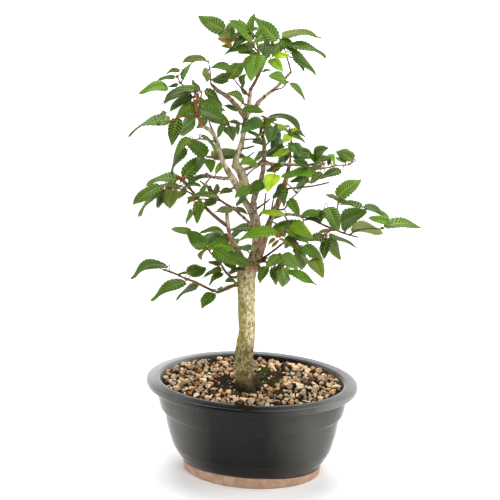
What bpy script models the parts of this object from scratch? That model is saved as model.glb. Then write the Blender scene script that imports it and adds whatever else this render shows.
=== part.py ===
"""Korean hornbeam bonsai in an oval glazed pot: pot, drain meshes, soil, gravel, the woody tree and its
leafy sprays. Metres, +Z up, the origin at the middle of the pot's foot, the pot's long side along X."""

import math
import random

import bmesh
import bpy
from mathutils import Vector
from mathutils.bvhtree import BVHTree
from mathutils.geometry import delaunay_2d_cdt

# Driving dimensions, in millimetres where no other unit is named
MM = 0.001
GAP = 0.3
LEAST_BODY_CORNERS = 8
ROUND_SIDES = 16

# The oval pot: half its length over each ring, and the height of that ring
POT_SPIN_STEPS = 30
POT_OUTSIDE = (
    (70.6, 0.0), (71.8, 12.0), (73.2, 12.6), (75.4, 15.6), (79.2, 21.6), (81.2, 25.5), (83.3, 30.0),
    (85.9, 38.5), (88.1, 47.0), (89.6, 56.0), (91.4, 64.0), (94.8, 66.5), (96.4, 73.0), (98.6, 88.4),
)
POT_RIM = ((106.8, 89.4), (108.6, 90.6), (109.2, 93.0), (108.8, 96.5))
POT_INSIDE = (
    (96.2, 97.6), (94.8, 96.0), (91.0, 86.0), (88.0, 73.0), (84.0, 56.0), (78.5, 36.0), (71.0, 19.0),
    (60.0, 12.0),
)
# Half the width of a ring for half its length
POT_OUTSIDE_OVAL = 0.76
POT_INSIDE_OVAL = 0.72
DRAIN_HOLE_DIAMETER = 14.0
DRAIN_HOLE_SPREAD = 35.0
DRAIN_MESH_SIDE = 20.0
DRAIN_MESH_THICKNESS = 1.0
DRAIN_MESH_CELLS = 5

# What fills the pot
INSIDE_ROOM = 0.6
SOIL_TOP = 90.6
GRAVEL_EDGE_HEIGHT = 93.3
GRAVEL_MOUND = 2.2
PEBBLE_SPACING = 6.5
PEBBLE_HEIGHT = 2.8
PEBBLE_JITTER = 0.22
PEBBLE_SINK = 0.15
PEBBLE_EDGE_ROOM = 2.2
PEBBLE_ROWS = 16
PEBBLE_COLUMNS = 22
PEBBLE_SEED = 7
GRAVEL_HOLE_RADIUS = 13.0
GRAVEL_EDGE_POINTS = 44
GRAVEL_HOLE_POINTS = 12
TRUNK_FOOT_HEIGHT = 56.0
TRUNK_FOOT_DIAMETER = 20.6
TRUNK_HOLE_DIAMETER = 22.6

# The square view frame, 500 mm on a side through the aim point and square to the line of sight, in which the
# tree's places are given: mm across from its left edge, mm down from its top edge, and mm behind the upright
# plane through the pot's middle
VIEW_TURN = math.radians(15.5)
VIEW_TILT = math.radians(19.0)
VIEW_DISTANCE = 3000.0
VIEW_HALF = 250.0
VIEW_AIM_HEIGHT = 236.3
VIEW_AIM_ASIDE = -1.7

# Leaves and twigs
BLADE_THICKNESS = 0.6
BLADE_ROOM = 1.5
BLADE_LEAST_LENGTH = 20.0
BLADE_LENGTH_FOR_SEEN = 1.05
BLADE_LENGTH_FOR_WIDTH = (1.75, 6.0)
BLADE_WIDTH_SHARE = 0.52
SEEN_WIDTH_MOST = 0.97
BLADE_ROUNDNESS = (0.5, 0.8, 0.42)
BLADE_FOLD = 0.16
BLADE_TEETH = (1.0, 0.9)
BLADE_TOOTH_WAVE = 0.05
BLADE_STEPS = ((38.0, 5), (29.0, 4), (0.0, 3))
FOLDED_BLADE_LENGTH = 21.0
STALK_DIAMETER = 1.0
STALK_LEAST = 3.0
STALK_SUNK = 1.5
STALK_BEND_COST = 5.0
STALK_BEND_MOST = 0.2
TWIG_DIAMETERS = (2.1, 1.3)
TWIG_SIDES = 4
TWIG_SAMPLES = 12
TWIG_FIRST_SAMPLE = 7
STUB_LENGTH = 1.6
# Shifts in depth of a leaf's base and of its tip, tried in turn until the leaf crosses nothing
LEAF_SHIFTS = (
    (0, 0), (0, 4), (0, -4), (2, 6), (-2, -6), (0, 8), (0, -8), (4, 4), (-4, -4), (3, 11), (-3, -11),
    (5, -3), (-5, 3), (7, 7), (-7, -7), (5, 14), (-5, -14), (8, 2), (-8, -2), (9, 16), (-9, -16),
    (12, 12), (-12, -12), (10, 20), (-10, -20), (16, 16), (-16, -16), (20, 20), (-20, -20),
)

# The wood that is one piece: how many sides a tube has, then its points, as across, down, depth, diameter
TRUNK = (
    (246.0, 391, -19, 22.0), (244.6, 375, -19, 19.6), (244.0, 357, -18.5, 19.0), (245.2, 343, -18, 17.8),
    (247.0, 331, -17.5, 16.8), (246.5, 308, -16, 17.3), (246.4, 287, -14, 18.4), (246.5, 273, -13, 19.6),
    (247.5, 262, -12, 14.0),
)
BRANCHES = (
    # The left stem, cut back at its top
    (6, ((244, 269, -14, 11.0), (241, 258, -15, 7.6), (236.5, 248, -15, 6.2), (232, 240, -14, 5.2),
         (229, 231, -13, 4.6), (227.5, 221, -11, 4.4), (226.8, 212, -10, 4.0))),
    # The red twig from the left stem
    (4, ((228.5, 227, -12, 3.6), (220, 220, -12, 3.0), (211, 213, -11, 2.6), (204, 205.5, -8, 2.3),
         (196.5, 197, -4, 2.1))),
    # The leader, up to where it parts
    (8, ((251, 268, -9, 12.0), (254.5, 252, -4, 9.2), (256.5, 241, 0, 9.0), (256.5, 231, 2, 9.5),
         (255.5, 221, 3, 10.0), (252, 212.5, 3, 9.0), (247.5, 205, 2, 7.0), (243, 198, 0, 6.6),
         (239, 191, -2, 6.6))),
    # The pale stem to the left
    (6, ((241.5, 195, -1, 6.4), (235, 184, -5, 6.5), (231.5, 178, -8, 6.2), (227, 171, -10, 5.2),
         (223, 163, -12, 4.6), (220, 154, -12, 4.4), (217.5, 143, -11, 4.2), (213.5, 132.5, -9, 4.0),
         (208, 128, -7, 3.6), (201, 126, -5, 3.0))),
    # The main stem to the top
    (6, ((242, 197, 0, 7.0), (244.5, 189, 3, 9.0), (243.5, 180, 5, 10.0), (240.5, 172, 6, 9.5),
         (236.5, 164, 6, 8.0), (236.5, 156, 6, 6.6), (240, 149, 5, 6.0), (242.5, 140, 4, 5.6),
         (243.5, 131, 3, 5.4), (245.5, 120, 2, 5.8), (248.5, 111, 1, 5.4), (249.5, 100, 0, 4.5),
         (250.5, 88, 0, 3.8))),
    # The brown shoot at the top
    (4, ((250.3, 90, 0, 3.6), (255, 82, -2, 3.2), (258, 76, -3, 3.0), (262, 68, -4, 2.8),
         (265, 61, -5, 2.4))),
    # The branch to the upper right
    (4, ((246.5, 115, 1, 4.2), (255, 106, 3, 3.8), (259, 101, 6, 3.4), (267, 94, 11, 3.0),
         (275, 88, 15, 2.8), (283, 80, 19, 2.6), (291, 72, 23.5, 2.3))),
    # The branch to the upper left
    (4, ((245.5, 119, 2, 4.6), (239, 109, -2, 4.2), (229, 98, -8, 3.8), (218, 90, -14, 3.2),
         (211, 84, -18, 2.4))),
    # The twig above the pale stem's end
    (4, ((205, 127.2, -6, 3.2), (200, 120, -3, 2.8), (198, 112, 0, 2.5), (196, 104, 3, 2.3),
         (198, 96, 6, 2.1))),
    # The upright stem right of the middle
    (4, ((253.5, 212, 1, 7.0), (253.5, 203, -2, 6.0), (254.5, 197, -3, 5.0), (256.5, 191, -2, 4.4),
         (259.5, 184, 2, 4.0), (261.5, 175, 6, 3.8), (263, 165, 9, 3.6), (263.5, 152, 10, 3.4),
         (263.5, 141, 10, 3.2), (260.5, 131, 8.5, 2.8), (266, 119, 6, 2.3))),
    # The level branch that crosses it to the right
    (4, ((243, 170, 6, 3.8), (252, 166.5, 7, 3.4), (263, 163.5, 9, 3.4), (281, 164.5, 5, 2.8),
         (305, 165, -3, 2.4), (313, 164.2, -6, 2.2))),
    # The thick right stem
    (8, ((251, 269, -12, 12.0), (257, 258, -14, 10.0), (260.5, 249, -16, 9.5), (263.3, 240, -16, 8.6),
         (266.5, 231, -13, 7.2), (269.3, 223, -9, 6.0), (273, 214, -4, 5.6), (277.5, 205, 0, 5.2),
         (281.5, 195, 4, 5.0), (284.5, 186, 8, 4.8), (287, 176, 11, 4.4), (290.3, 160, 16, 2.8))),
    # The bare twig from the right stem
    (4, ((284.5, 189, 7, 2.4), (295, 188, 3, 2.0), (313, 186, -5, 1.7), (329, 182.5, -11, 1.5))),
    # The long low branch to the right
    (4, ((271, 219, -7, 3.4), (285, 214.5, 0, 3.0), (298, 215.5, 6, 2.8), (311, 219, 12, 2.4),
         (326, 226, 18, 2.1), (342, 232.5, 22, 1.9), (358, 237.3, 25, 1.6))),
    # The thin twig low on the right
    (4, ((262, 259, -13, 2.6), (273, 251, -18, 2.2), (285, 241.5, -27, 2.1))),
    # The lowest branch, to the left
    (4, ((243, 282.5, -13, 4.4), (236, 284.7, -17, 3.6), (228, 288, -22, 3.2), (218, 292.3, -28, 2.6))),
    # The orange twig low on the left
    (4, ((245, 275, -17, 4.0), (237, 277.3, -24, 3.0), (231.5, 277, -28, 2.4))),
    # The short branch left of the pale stem
    (4, ((232, 179, -8, 3.6), (220, 178, -6, 3.2), (211, 176.5, -2, 2.7), (206, 173.5, 1, 2.2))),
    # The thin dark twig from the leader to the left
    (4, ((256, 229, 2, 3.6), (243, 217, -3, 3.0), (234, 209, -7, 2.8), (220, 200, -10, 2.3),
         (213, 191.5, -9, 2.0), (200, 181, -4, 1.7))),
    # Short bare twigs in the middle
    (4, ((240.5, 149, 5, 2.6), (247, 148, 9, 2.0), (254, 146, 13, 1.6))),
    (4, ((254, 210.5, 1, 2.4), (265, 203, -6, 1.8), (270, 199, -9, 1.5))),
    (4, ((257, 218, 4, 2.4), (263.5, 211, 7, 1.8), (265, 200, 9, 1.6), (266, 193, 10, 1.4))),
    (4, ((270, 220, -8, 2.4), (271.5, 210, -11, 1.8), (274, 196, -13, 1.4))),
)

# The leafy sprays. A twig's first point lies on the wood that bears it: across, down, depth. A leaf is its
# blade's base and tip, across and down, its width as seen, how it leans (-1 towards the viewer, 1 away from
# the viewer, with 2 added where its pale underside is seen), and how high it arches for its length
SPRAYS = (
    ("spray_top_left",
     ((265, 61, -5), (260, 55, -6), (255, 48, -9), (249, 41.5, -12), (240, 38.5, -15), (229, 37.5, -19)),
     ((224, 30.5, 198, 16.5, 16, 1, 0.06), (226, 42, 214, 25, 9, 3, 0.06), (252, 41, 228, 20, 11, -1, 0.08),
      (229, 43, 231, 21, 13, 1, 0.05), (248, 35, 255, 13, 9, 1, 0.05), (243, 37, 240, 18.5, 12, 1, 0.05),
      (245, 37, 232, 48, 8, -1, 0.07), (232, 46, 217, 38.5, 5, -1, 0.06), (253, 48, 224, 54.5, 8, -1, 0.12),
      (256, 55, 251, 81, 22, -1, 0.04))),
    ("spray_top_right",
     ((265, 61, -5), (268, 56, 0), (270, 50, 6), (272, 44, 11)),
     ((277, 41, 254, 17, 15, 1, 0.06), (268, 38, 252, 43.5, 6, 1, 0.08), (276, 45, 263, 60, 12, -1, 0.06),
      (271, 59, 283, 72, 11, -1, 0.06), (288, 57, 271, 55, 7, 1, 0.06))),
    ("spray_upper_left",
     ((249.7, 97, 0), (243, 90, -8), (238, 84.5, -14), (234.5, 80, -18), (231, 78, -21)),
     ((232, 70, 210, 68, 9, -1, 0.2), (229, 78, 243, 62, 15, 1, 0.06), (229, 79, 211.5, 80, 11, 1, 0.05),
      (241, 86, 246, 74, 8, -1, 0.06))),
    ("spray_left_point",
     ((211, 84, -18), (210.5, 78, -19), (210, 70, -20), (208.5, 62, -21)),
     ((208.5, 69.5, 205.5, 81, 9, 1, 0.05), (208, 61, 181, 64, 8, -1, 0.2))),
    ("spray_right_point",
     ((291, 72, 23.5), (289, 64, 30), (287, 58, 35), (285, 51, 39), (283.5, 44, 42)),
     ((282, 36.5, 321.5, 38, 8, 1, 0.11), (288, 46, 326, 57.5, 8, -1, 0.11),
      (280, 39, 299, 56, 10, -1, 0.07), (291, 53, 316, 75, 9, 1, 0.05), (285, 42, 271, 58, 9, -1, 0.06))),
    ("spray_right_shoulder",
     ((271, 91, 13), (279, 89, 6), (283.5, 87, 2), (287, 82.5, -2)),
     ((290, 83, 304.5, 100, 6, -1, 0.1), (285, 80, 268, 76, 12, -1, 0.06))),
    ("spray_left_shoot",
     ((198, 96, 6), (192, 90, 16), (185, 86.5, 24), (180, 82, 30), (177.5, 77, 34)),
     ((182, 82, 195, 61, 5, 1, 0.14), (176, 78, 157, 80.5, 5, 1, 0.1), (168, 87, 139, 94, 11, -1, 0.14))),
    ("spray_left_high",
     ((200, 120, -3), (195.5, 114, 4), (193.5, 106, 9), (194, 98, 12)),
     ((194, 90, 161, 105, 10, 1, 0.13), (194, 97, 168.5, 113, 9, 1, 0.12),
      (196, 104, 175.5, 118, 13, -1, 0.07), (195, 119, 180, 135, 14, 1, 0.06),
      (197, 92, 192.5, 79.5, 7, 1, 0.05))),
    ("spray_left_inner",
     ((198, 112, 0), (199.5, 107, -9), (200.5, 100, -16), (201.5, 93, -21)),
     ((204, 91, 222, 106, 9, 1, 0.09), (202, 103, 225, 111, 12, -1, 0.12),
      (199, 110, 231, 127, 12.5, -1, 0.11))),
    ("spray_left_tip",
     ((199, 116, -1.5), (190, 116, -14), (181, 117, -24), (172, 120, -32)),
     ((178, 117, 171.5, 146, 14, -1, 0.05), (170, 122, 128.5, 137.5, 7, 1, 0.15),
      (158, 121, 167, 113, 6, -1, 0.06))),
    ("spray_left_shoulder",
     ((217.3, 142, -11), (208, 140, -22), (199, 139, -31), (191, 141, -38)),
     ((190, 138, 175, 157, 9, -1, 0.12), (187, 149.5, 172, 175, 8, 1, 0.13),
      (201, 135, 216, 153, 4.5, -1, 0.12))),
    ("spray_centre_left",
     ((220.5, 156, -12), (214.5, 157.5, -7), (209, 157, -2)),
     ((207, 156, 184, 138, 15, 1, 0.08), (209, 158, 211, 173, 11, -1, 0.06),
      (211, 156, 248, 156.5, 12.5, 1, 0.06), (223, 162, 215, 176, 6, -1, 0.06),
      (205, 159, 195, 169, 8, 1, 0.06))),
    ("spray_middle_left",
     ((244.2, 126, 2.5), (238, 122.5, -9), (231, 121.5, -18), (225, 122.5, -25)),
     ((224, 124, 218, 138, 7, -1, 0.06), (228, 127, 233.5, 141, 12, -1, 0.06),
      (231, 123, 243, 124, 4, 1, 0.07))),
    ("spray_middle_top",
     ((249, 106, 0.5), (244, 103.5, -11), (240.5, 101, -19)),
     ((243, 98.5, 227.5, 93, 9, -1, 0.05), (242, 109.5, 265, 112.5, 9, -1, 0.09),
      (238, 111, 223, 105, 5, 1, 0.06))),
    ("spray_middle_right",
     ((266, 119, 6), (263, 116, -3), (261, 117, -11)),
     ((262, 120, 240, 133, 13, -1, 0.06), (266, 118, 302, 132, 8, -1, 0.22),
      (265, 125, 277, 119.5, 8, -1, 0.06))),
    ("spray_middle_back",
     ((263.5, 124.5, 7), (270, 122, 16), (275, 124, 24), (278, 126, 30)),
     ((274, 128, 271, 143, 11, -1, 0.06), (276, 127, 290, 131, 6, 1, 0.06))),
    ("spray_middle_low",
     ((263.5, 141, 10), (263.5, 137, 2), (263.5, 132, -5)),
     ((263, 143, 252, 142, 8, -1, 0.06), (262, 134, 257, 138, 5, -1, 0.06),
      (265, 127, 268, 144, 5, -1, 0.06))),
    ("spray_right_middle",
     ((290.3, 160, 16), (290.5, 152, 20), (291, 144, 24), (291.5, 136, 27), (290, 130, 29)),
     ((287, 132, 305, 143, 6, 1, 0.1), (291, 134, 283, 143, 10, -1, 0.06),
      (292, 142, 300, 157, 13, -1, 0.05), (287, 149, 278, 158, 9, -1, 0.06),
      (298, 150, 313, 155, 8, -1, 0.06), (284, 147, 267, 157, 8, 1, 0.06))),
    ("spray_right_arm",
     ((303, 165, -2.3), (311, 168, 6), (319, 169, 13), (328, 167.5, 20), (338, 165.5, 27), (349, 165, 34)),
     ((353.5, 159.5, 336, 151, 12, 1, 0.07), (335, 164, 328, 154.5, 6, -1, 0.06),
      (345, 163, 336, 157, 6, 1, 0.06), (341, 170, 320, 179, 9, -1, 0.07))),
    ("spray_right_hand",
     ((313, 164.2, -6), (319, 163, -12), (324, 163, -17)),
     ((314, 157, 328, 147.5, 12, -1, 0.05), (318, 163, 308, 154, 8, -1, 0.06),
      (308, 166, 292, 161, 8, -1, 0.07), (316, 174, 281, 177.5, 11, -1, 0.09),
      (322, 173, 310, 184, 9, -1, 0.06))),
    ("spray_left_arm",
     ((196.5, 197, -4), (191, 190, 2), (187, 185, 6), (182, 180, 10), (178, 177, 13)),
     ((183, 178, 206, 157.5, 16, 1, 0.17), (187, 183, 211, 176.5, 6, 1, 0.1),
      (178, 180, 145.5, 186.5, 9, 1, 0.16), (187, 190, 177, 198, 8, 1, 0.06))),
    ("spray_left_hand",
     ((200, 201, -6), (190, 193, -17), (180, 189, -25), (170, 187.5, -33), (163, 187, -39)),
     ((162, 186, 132, 206, 12.5, -1, 0.09), (160, 188, 139, 217, 8, 1, 0.06),
      (172, 190, 170, 209, 17, -1, 0.05), (165, 191, 157, 208, 10, 1, 0.06),
      (178, 187, 160, 185, 6, 1, 0.08))),
    ("spray_left_under",
     ((221, 200.6, -10), (212, 200, -22), (203, 199, -32), (193, 200, -41)),
     ((200, 199, 197, 224, 11, -1, 0.06), (193, 212, 186, 224, 5.5, 1, 0.07),
      (217, 196, 187, 198, 6, -1, 0.07), (218, 200, 200, 207, 8, 1, 0.07))),
    ("spray_centre_low",
     ((211, 176.5, -2), (208.5, 180, -10), (206, 183, -17)),
     ((205, 184, 202, 197, 6, -1, 0.06),)),
    ("spray_centre_front",
     ((256, 192.5, -2), (257, 189, -14), (255, 186, -26), (250, 185, -36)),
     ((263, 183, 247, 195, 13, -1, 0.06), (249, 186, 234.5, 198, 10, -1, 0.06),
      (246, 196, 236, 206, 7, 1, 0.06))),
    ("spray_centre_bright",
     ((259, 164.5, 8.3), (262, 160, -5), (268, 162, -16), (274, 170, -24)),
     ((274.5, 174, 267, 192, 15.5, -1, 0.04), (254, 160, 239.5, 165, 11, -1, 0.06))),
    ("spray_centre_fork",
     ((238, 212.6, -5), (235.5, 209, 8), (232, 207, 18)),
     ((233, 211, 212, 214, 6, 1, 0.14), (235, 207, 248, 215, 5, -1, 0.06))),
    ("spray_centre_back",
     ((236.5, 187, -4), (231, 189, 8), (224, 190.5, 18), (218, 192, 26)),
     ((233, 189, 219, 194.5, 7, -1, 0.1), (217, 194, 217, 183.5, 7, 1, 0.06))),
    ("spray_right_front",
     ((275.5, 209.5, -2), (284, 209, -11), (288, 203, -16), (292, 198, -20), (300, 190, -26),
      (307, 179, -34)),
     ((285, 215, 258, 213.5, 7, -1, 0.06), (289, 199, 299.5, 217, 11, -1, 0.06),
      (286, 188, 284, 207, 7, -1, 0.06), (309, 181, 296, 187, 6, -1, 0.06))),
    ("spray_right_low",
     ((308, 218.2, 11), (312, 216, 0), (317, 217, -8), (322, 218, -15)),
     ((320, 215, 300, 216, 9, -1, 0.19), (321, 221, 303, 220, 6, -1, 0.08),
      (320, 220, 326, 213, 8, -1, 0.06), (328, 207, 339, 232, 16, -1, 0.05))),
    ("spray_right_upright",
     ((338.5, 231, 21), (338, 222, 28), (337.5, 210, 36), (338, 200, 43)),
     ((337, 197, 361.5, 179.5, 16, 1, 0.09), (334, 199, 327, 194, 6, 1, 0.06),
      (346, 204, 333, 198, 5, 1, 0.06), (341, 223, 367, 211.5, 20, -1, 0.04))),
    ("spray_right_tip",
     ((349, 235, 23.3), (356, 231, 14), (364, 229, 6), (373, 228.5, -1), (382, 229, -8)),
     ((352, 227, 383.5, 234.5, 13, 3, 0.07), (384, 227, 424, 229.5, 10, 1, 0.12),
      (388, 222, 368, 218, 9, 1, 0.08))),
    ("spray_right_back",
     ((344, 233.2, 22.3), (350, 224, 32), (358, 213, 40), (366, 209.5, 46), (373, 211, 51)),
     ((362, 207, 343, 202, 7, 1, 0.08), (364, 207, 386, 217, 7, 1, 0.1), (379, 213, 391, 221, 5, 1, 0.07))),
    ("spray_low_right_tip",
     ((331, 228.1, 19.3), (328.5, 232, 8), (324, 235, -2), (318, 236.5, -11)),
     ((325, 238, 306, 240, 10, -1, 0.07), (329, 236, 357, 247.5, 4.5, 1, 0.04),
      (327, 238.5, 324, 259.5, 11, -1, 0.06), (327, 239, 340.5, 260, 12, 1, 0.05))),
    ("spray_low_right",
     ((285, 241.5, -27), (291, 240.5, -32), (297, 244, -38), (303, 249, -43), (309, 256, -48)),
     ((303, 246, 323, 260, 12, -1, 0.06), (312.5, 258.5, 323.5, 278, 15, -1, 0.06),
      (297, 250, 303, 270, 13, 1, 0.06), (285, 238, 306, 257, 7, -1, 0.07),
      (292, 235, 308.5, 243, 7, 1, 0.07))),
    ("spray_low_front",
     ((258, 261, -14), (266, 262, -30), (273, 262, -42), (279, 264, -52), (284, 268, -60)),
     ((281.5, 255, 298, 270, 15, -1, 0.07), (288, 271, 317, 285.5, 9, -1, 0.03),
      (282, 269, 284.5, 286.5, 13, 1, 0.06), (271.5, 268, 277, 285, 10, 1, 0.06),
      (266, 266, 259.5, 283.5, 10, -1, 0.06), (280, 256, 266, 268, 12, -1, 0.06))),
    ("spray_front_bright",
     ((284, 214.8, -0.5), (287, 220, -16), (288, 226, -28), (283, 232, -40), (278, 237, -50)),
     ((276, 231, 239, 240, 12, -1, 0.08), (291, 224, 313, 238, 14, -1, 0.06),
      (284, 229, 309, 243, 9, 1, 0.06))),
    ("spray_front_upper",
     ((299.5, 215.9, 6.6), (303, 219, -8), (303.5, 223, -20)),
     ((303, 224, 268, 229.5, 10, 1, 0.04),)),
    ("spray_fork_back",
     ((256.5, 236, 1), (254, 232, 16), (251, 230, 28)),
     ((252, 228, 230, 230, 8, 1, 0.07), (251, 249, 236, 248, 7, 1, 0.07))),
    ("spray_low_left",
     ((231.5, 277, -28), (227, 273.6, -32), (222, 266, -38), (217, 259.5, -43), (212, 254.5, -47),
      (207, 248, -52)),
     ((205, 249, 187, 230, 16, 1, 0.05), (208, 248, 192, 246, 8, -1, 0.07),
      (203, 250, 201, 260, 6.5, -1, 0.06), (213, 250, 236, 265, 14, -1, 0.06),
      (224, 270, 202, 279.5, 5, 1, 0.14), (223, 273, 209, 285.5, 6.5, -1, 0.14),
      (229, 272, 246, 270, 5, -1, 0.07))),
    ("spray_left_back",
     ((229.3, 234, -13), (222, 236, 0), (213, 239, 10), (204, 238, 19), (195, 236, 27)),
     ((190, 233, 170, 229, 8, 1, 0.07), (226, 234, 200, 233, 7, -1, 0.16),
      (222, 238, 201, 244, 12, 1, 0.06), (231, 240, 221, 236, 9, 1, 0.06),
      (229, 241, 207, 248, 11, 1, 0.05))),
    ("spray_left_front",
     ((236, 247, -15), (231, 252, -30), (229, 256, -42)),
     ((224, 255, 253, 267, 13, -1, 0.06), (234, 250, 220, 251, 5, -1, 0.07))),
    ("spray_lowest",
     ((218, 292.3, -28), (209, 289, -32), (196.5, 282.5, -36), (186, 278.7, -39), (175, 273.6, -42),
      (163.5, 269.7, -45)),
     ((167.5, 266, 131, 279, 10.5, -1, 0.21), (186, 281, 151, 301, 11, -1, 0.08),
      (198.5, 286, 176, 301, 6, 1, 0.11), (188, 274.5, 206, 268, 14, 1, 0.07),
      (213, 292, 201.5, 308.5, 12.5, -1, 0.07))),
    # Sprays on the far side, which the near ones hide in the view frame
    ("spray_back_low_left",
     ((253, 256, -5), (246, 250, 20), (236, 246, 42), (224, 243, 60), (212, 241, 76)),
     ((222, 242, 203, 236, 12, 1, 0.06), (214, 241, 196, 244, 11, 1, 0.06),
      (232, 246, 238, 238, 9, 1, 0.06))),
    ("spray_back_low_right",
     ((270, 221, -8), (277, 224, 20), (285, 229, 45), (293, 236, 66)),
     ((290, 233, 309, 238, 11, 1, 0.06), (283, 228, 300, 229, 10, 1, 0.06),
      (288, 233, 270, 232, 11, 1, 0.06))),
    ("spray_back_top",
     ((256.2, 80, -2.4), (257, 70, 16), (258, 58, 32), (258, 46, 46), (256, 38, 56)),
     ((257, 41, 268, 25, 12, 1, 0.06), (255, 40, 238, 28, 9, 1, 0.06), (258, 52, 252, 72, 13, 1, 0.06))),
    ("spray_back_left",
     ((213.3, 132, -9), (210, 124, 14), (208, 116, 32), (206, 109, 48)),
     ((206, 110, 224, 110, 10, 1, 0.06), (207, 116, 226, 124, 10, 1, 0.06),
      (205, 108, 190, 118, 10, 1, 0.06))),
    ("spray_back_right",
     ((317, 221.2, 14.5), (325, 217, 36), (334, 216, 56), (344, 214, 74)),
     ((342, 215, 358, 214, 11, 1, 0.06), (330, 216, 334, 229, 9, 1, 0.06))),
    ("spray_back_middle",
     ((263.5, 147, 10), (268, 143, 30), (272, 138, 48), (274, 132, 62)),
     ((273, 132, 262, 124, 9, 1, 0.06), (272, 138, 284, 146, 9, 1, 0.06),
      (273, 131, 290, 126, 7, 1, 0.06))),
)


def empty_scene():
    for old in list(bpy.data.objects):
        bpy.data.objects.remove(old, do_unlink=True)


def new_collection(name):
    made = bpy.data.collections.new(name)
    bpy.context.scene.collection.children.link(made)
    return made


def new_material(name, colour, roughness):
    made = bpy.data.materials.new(name)
    made.use_nodes = True
    shader = made.node_tree.nodes["Principled BSDF"]
    shader.inputs["Base Color"].default_value = (*colour, 1.0)
    shader.inputs["Roughness"].default_value = roughness
    shader.inputs["Metallic"].default_value = 0.0
    return made


def new_object(name, bm, collection, material):
    """An object from a bmesh in millimetres."""
    bmesh.ops.scale(bm, vec=(MM, MM, MM), verts=bm.verts)
    mesh = bpy.data.meshes.new(name)
    bm.to_mesh(mesh)
    bm.free()
    made = bpy.data.objects.new(name, mesh)
    mesh.materials.append(material)
    collection.objects.link(made)
    return made


def frozen(obj, name, collection, material):
    """The object as its modifiers leave it, made a plain mesh with merged doubles, in place of the first."""
    bpy.context.view_layer.update()
    graph = bpy.context.evaluated_depsgraph_get()
    mesh = bpy.data.meshes.new_from_object(obj.evaluated_get(graph))
    bm = bmesh.new()
    bm.from_mesh(mesh)
    bmesh.ops.remove_doubles(bm, verts=bm.verts, dist=0.000002)
    bm.to_mesh(mesh)
    bm.free()
    place = obj.matrix_world.copy()
    bpy.data.objects.remove(obj, do_unlink=True)
    made = bpy.data.objects.new(name, mesh)
    made.matrix_world = place
    mesh.materials.clear()
    mesh.materials.append(material)
    collection.objects.link(made)
    return made


def boolean(obj, operation, name, collection, material, other=None, others=None):
    """The object joined with, or cut by, an object or all of a collection, which is then removed."""
    joint = obj.modifiers.new(operation, "BOOLEAN")
    joint.operation = operation
    joint.solver = "EXACT"
    if others is None:
        joint.object = other
    else:
        joint.operand_type = "COLLECTION"
        joint.collection = others
    made = frozen(obj, name, collection, material)
    for used in list(others.objects) if others else [other]:
        bpy.data.objects.remove(used, do_unlink=True)
    remove_crumbs(made)
    return made


def remove_crumbs(obj):
    """Takes away the specks of a few corners that a union can leave where three pieces meet."""
    bm = bmesh.new()
    bm.from_mesh(obj.data)
    unseen = set(bm.verts)
    while unseen:
        island = [unseen.pop()]
        for vert in island:
            near = {edge.other_vert(vert) for edge in vert.link_edges} & unseen
            unseen -= near
            island += near
        if len(island) < LEAST_BODY_CORNERS:
            bmesh.ops.delete(bm, geom=island, context="VERTS")
    bm.to_mesh(obj.data)
    bm.free()


# The pot and what fills it


def oval_turned(profile, steps):
    """A closed body from a profile of half lengths, heights and half widths for half lengths, turned about
    Z and drawn in across."""
    bm = bmesh.new()
    oval = bm.verts.layers.float.new("oval")
    rows = [bm.verts.new((along, 0.0, height)) for along, height, _ in profile]
    for vert, (_, _, share) in zip(rows, profile):
        vert[oval] = share
    line = [bm.edges.new(pair) for pair in zip(rows, rows[1:])]
    bmesh.ops.spin(bm, geom=rows + line, axis=(0, 0, 1), cent=(0, 0, 0), angle=math.tau, steps=steps,
                   use_merge=True, use_duplicate=False)
    bmesh.ops.remove_doubles(bm, verts=bm.verts, dist=0.001)
    for vert in bm.verts:
        vert.co.y *= vert[oval]
    bmesh.ops.recalc_face_normals(bm, faces=bm.faces)
    return bm


def ovals(profile, share):
    return [(along, height, share) for along, height in profile]


def round_cutter(name, place, diameter, bottom, top, collection, material):
    bm = bmesh.new()
    bmesh.ops.create_cone(bm, cap_ends=True, segments=ROUND_SIDES, radius1=diameter / 2, radius2=diameter / 2,
                          depth=top - bottom)
    bmesh.ops.translate(bm, vec=(place[0], place[1], (top + bottom) / 2), verts=bm.verts)
    made = new_object(name, bm, collection, material)
    made.hide_render = True
    made.display_type = "WIRE"
    return made


def make_pot(collection, cutters, glaze):
    floor = POT_INSIDE[-1][1]
    profile = ovals(((0.0, 0.0),) + POT_OUTSIDE + POT_RIM, POT_OUTSIDE_OVAL)
    profile += ovals(POT_INSIDE + ((0.0, floor),), POT_INSIDE_OVAL)
    pot = new_object("pot", oval_turned(profile, POT_SPIN_STEPS), collection, glaze)
    for side in (-1, 1):
        cutter = round_cutter("drain_cutter", (side * DRAIN_HOLE_SPREAD, 0.0), DRAIN_HOLE_DIAMETER, -2.0,
                              floor + 2.0, cutters, glaze)
        pot = boolean(pot, "DIFFERENCE", "pot", collection, glaze, other=cutter)
    pot.data.shade_smooth()
    return pot


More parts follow.
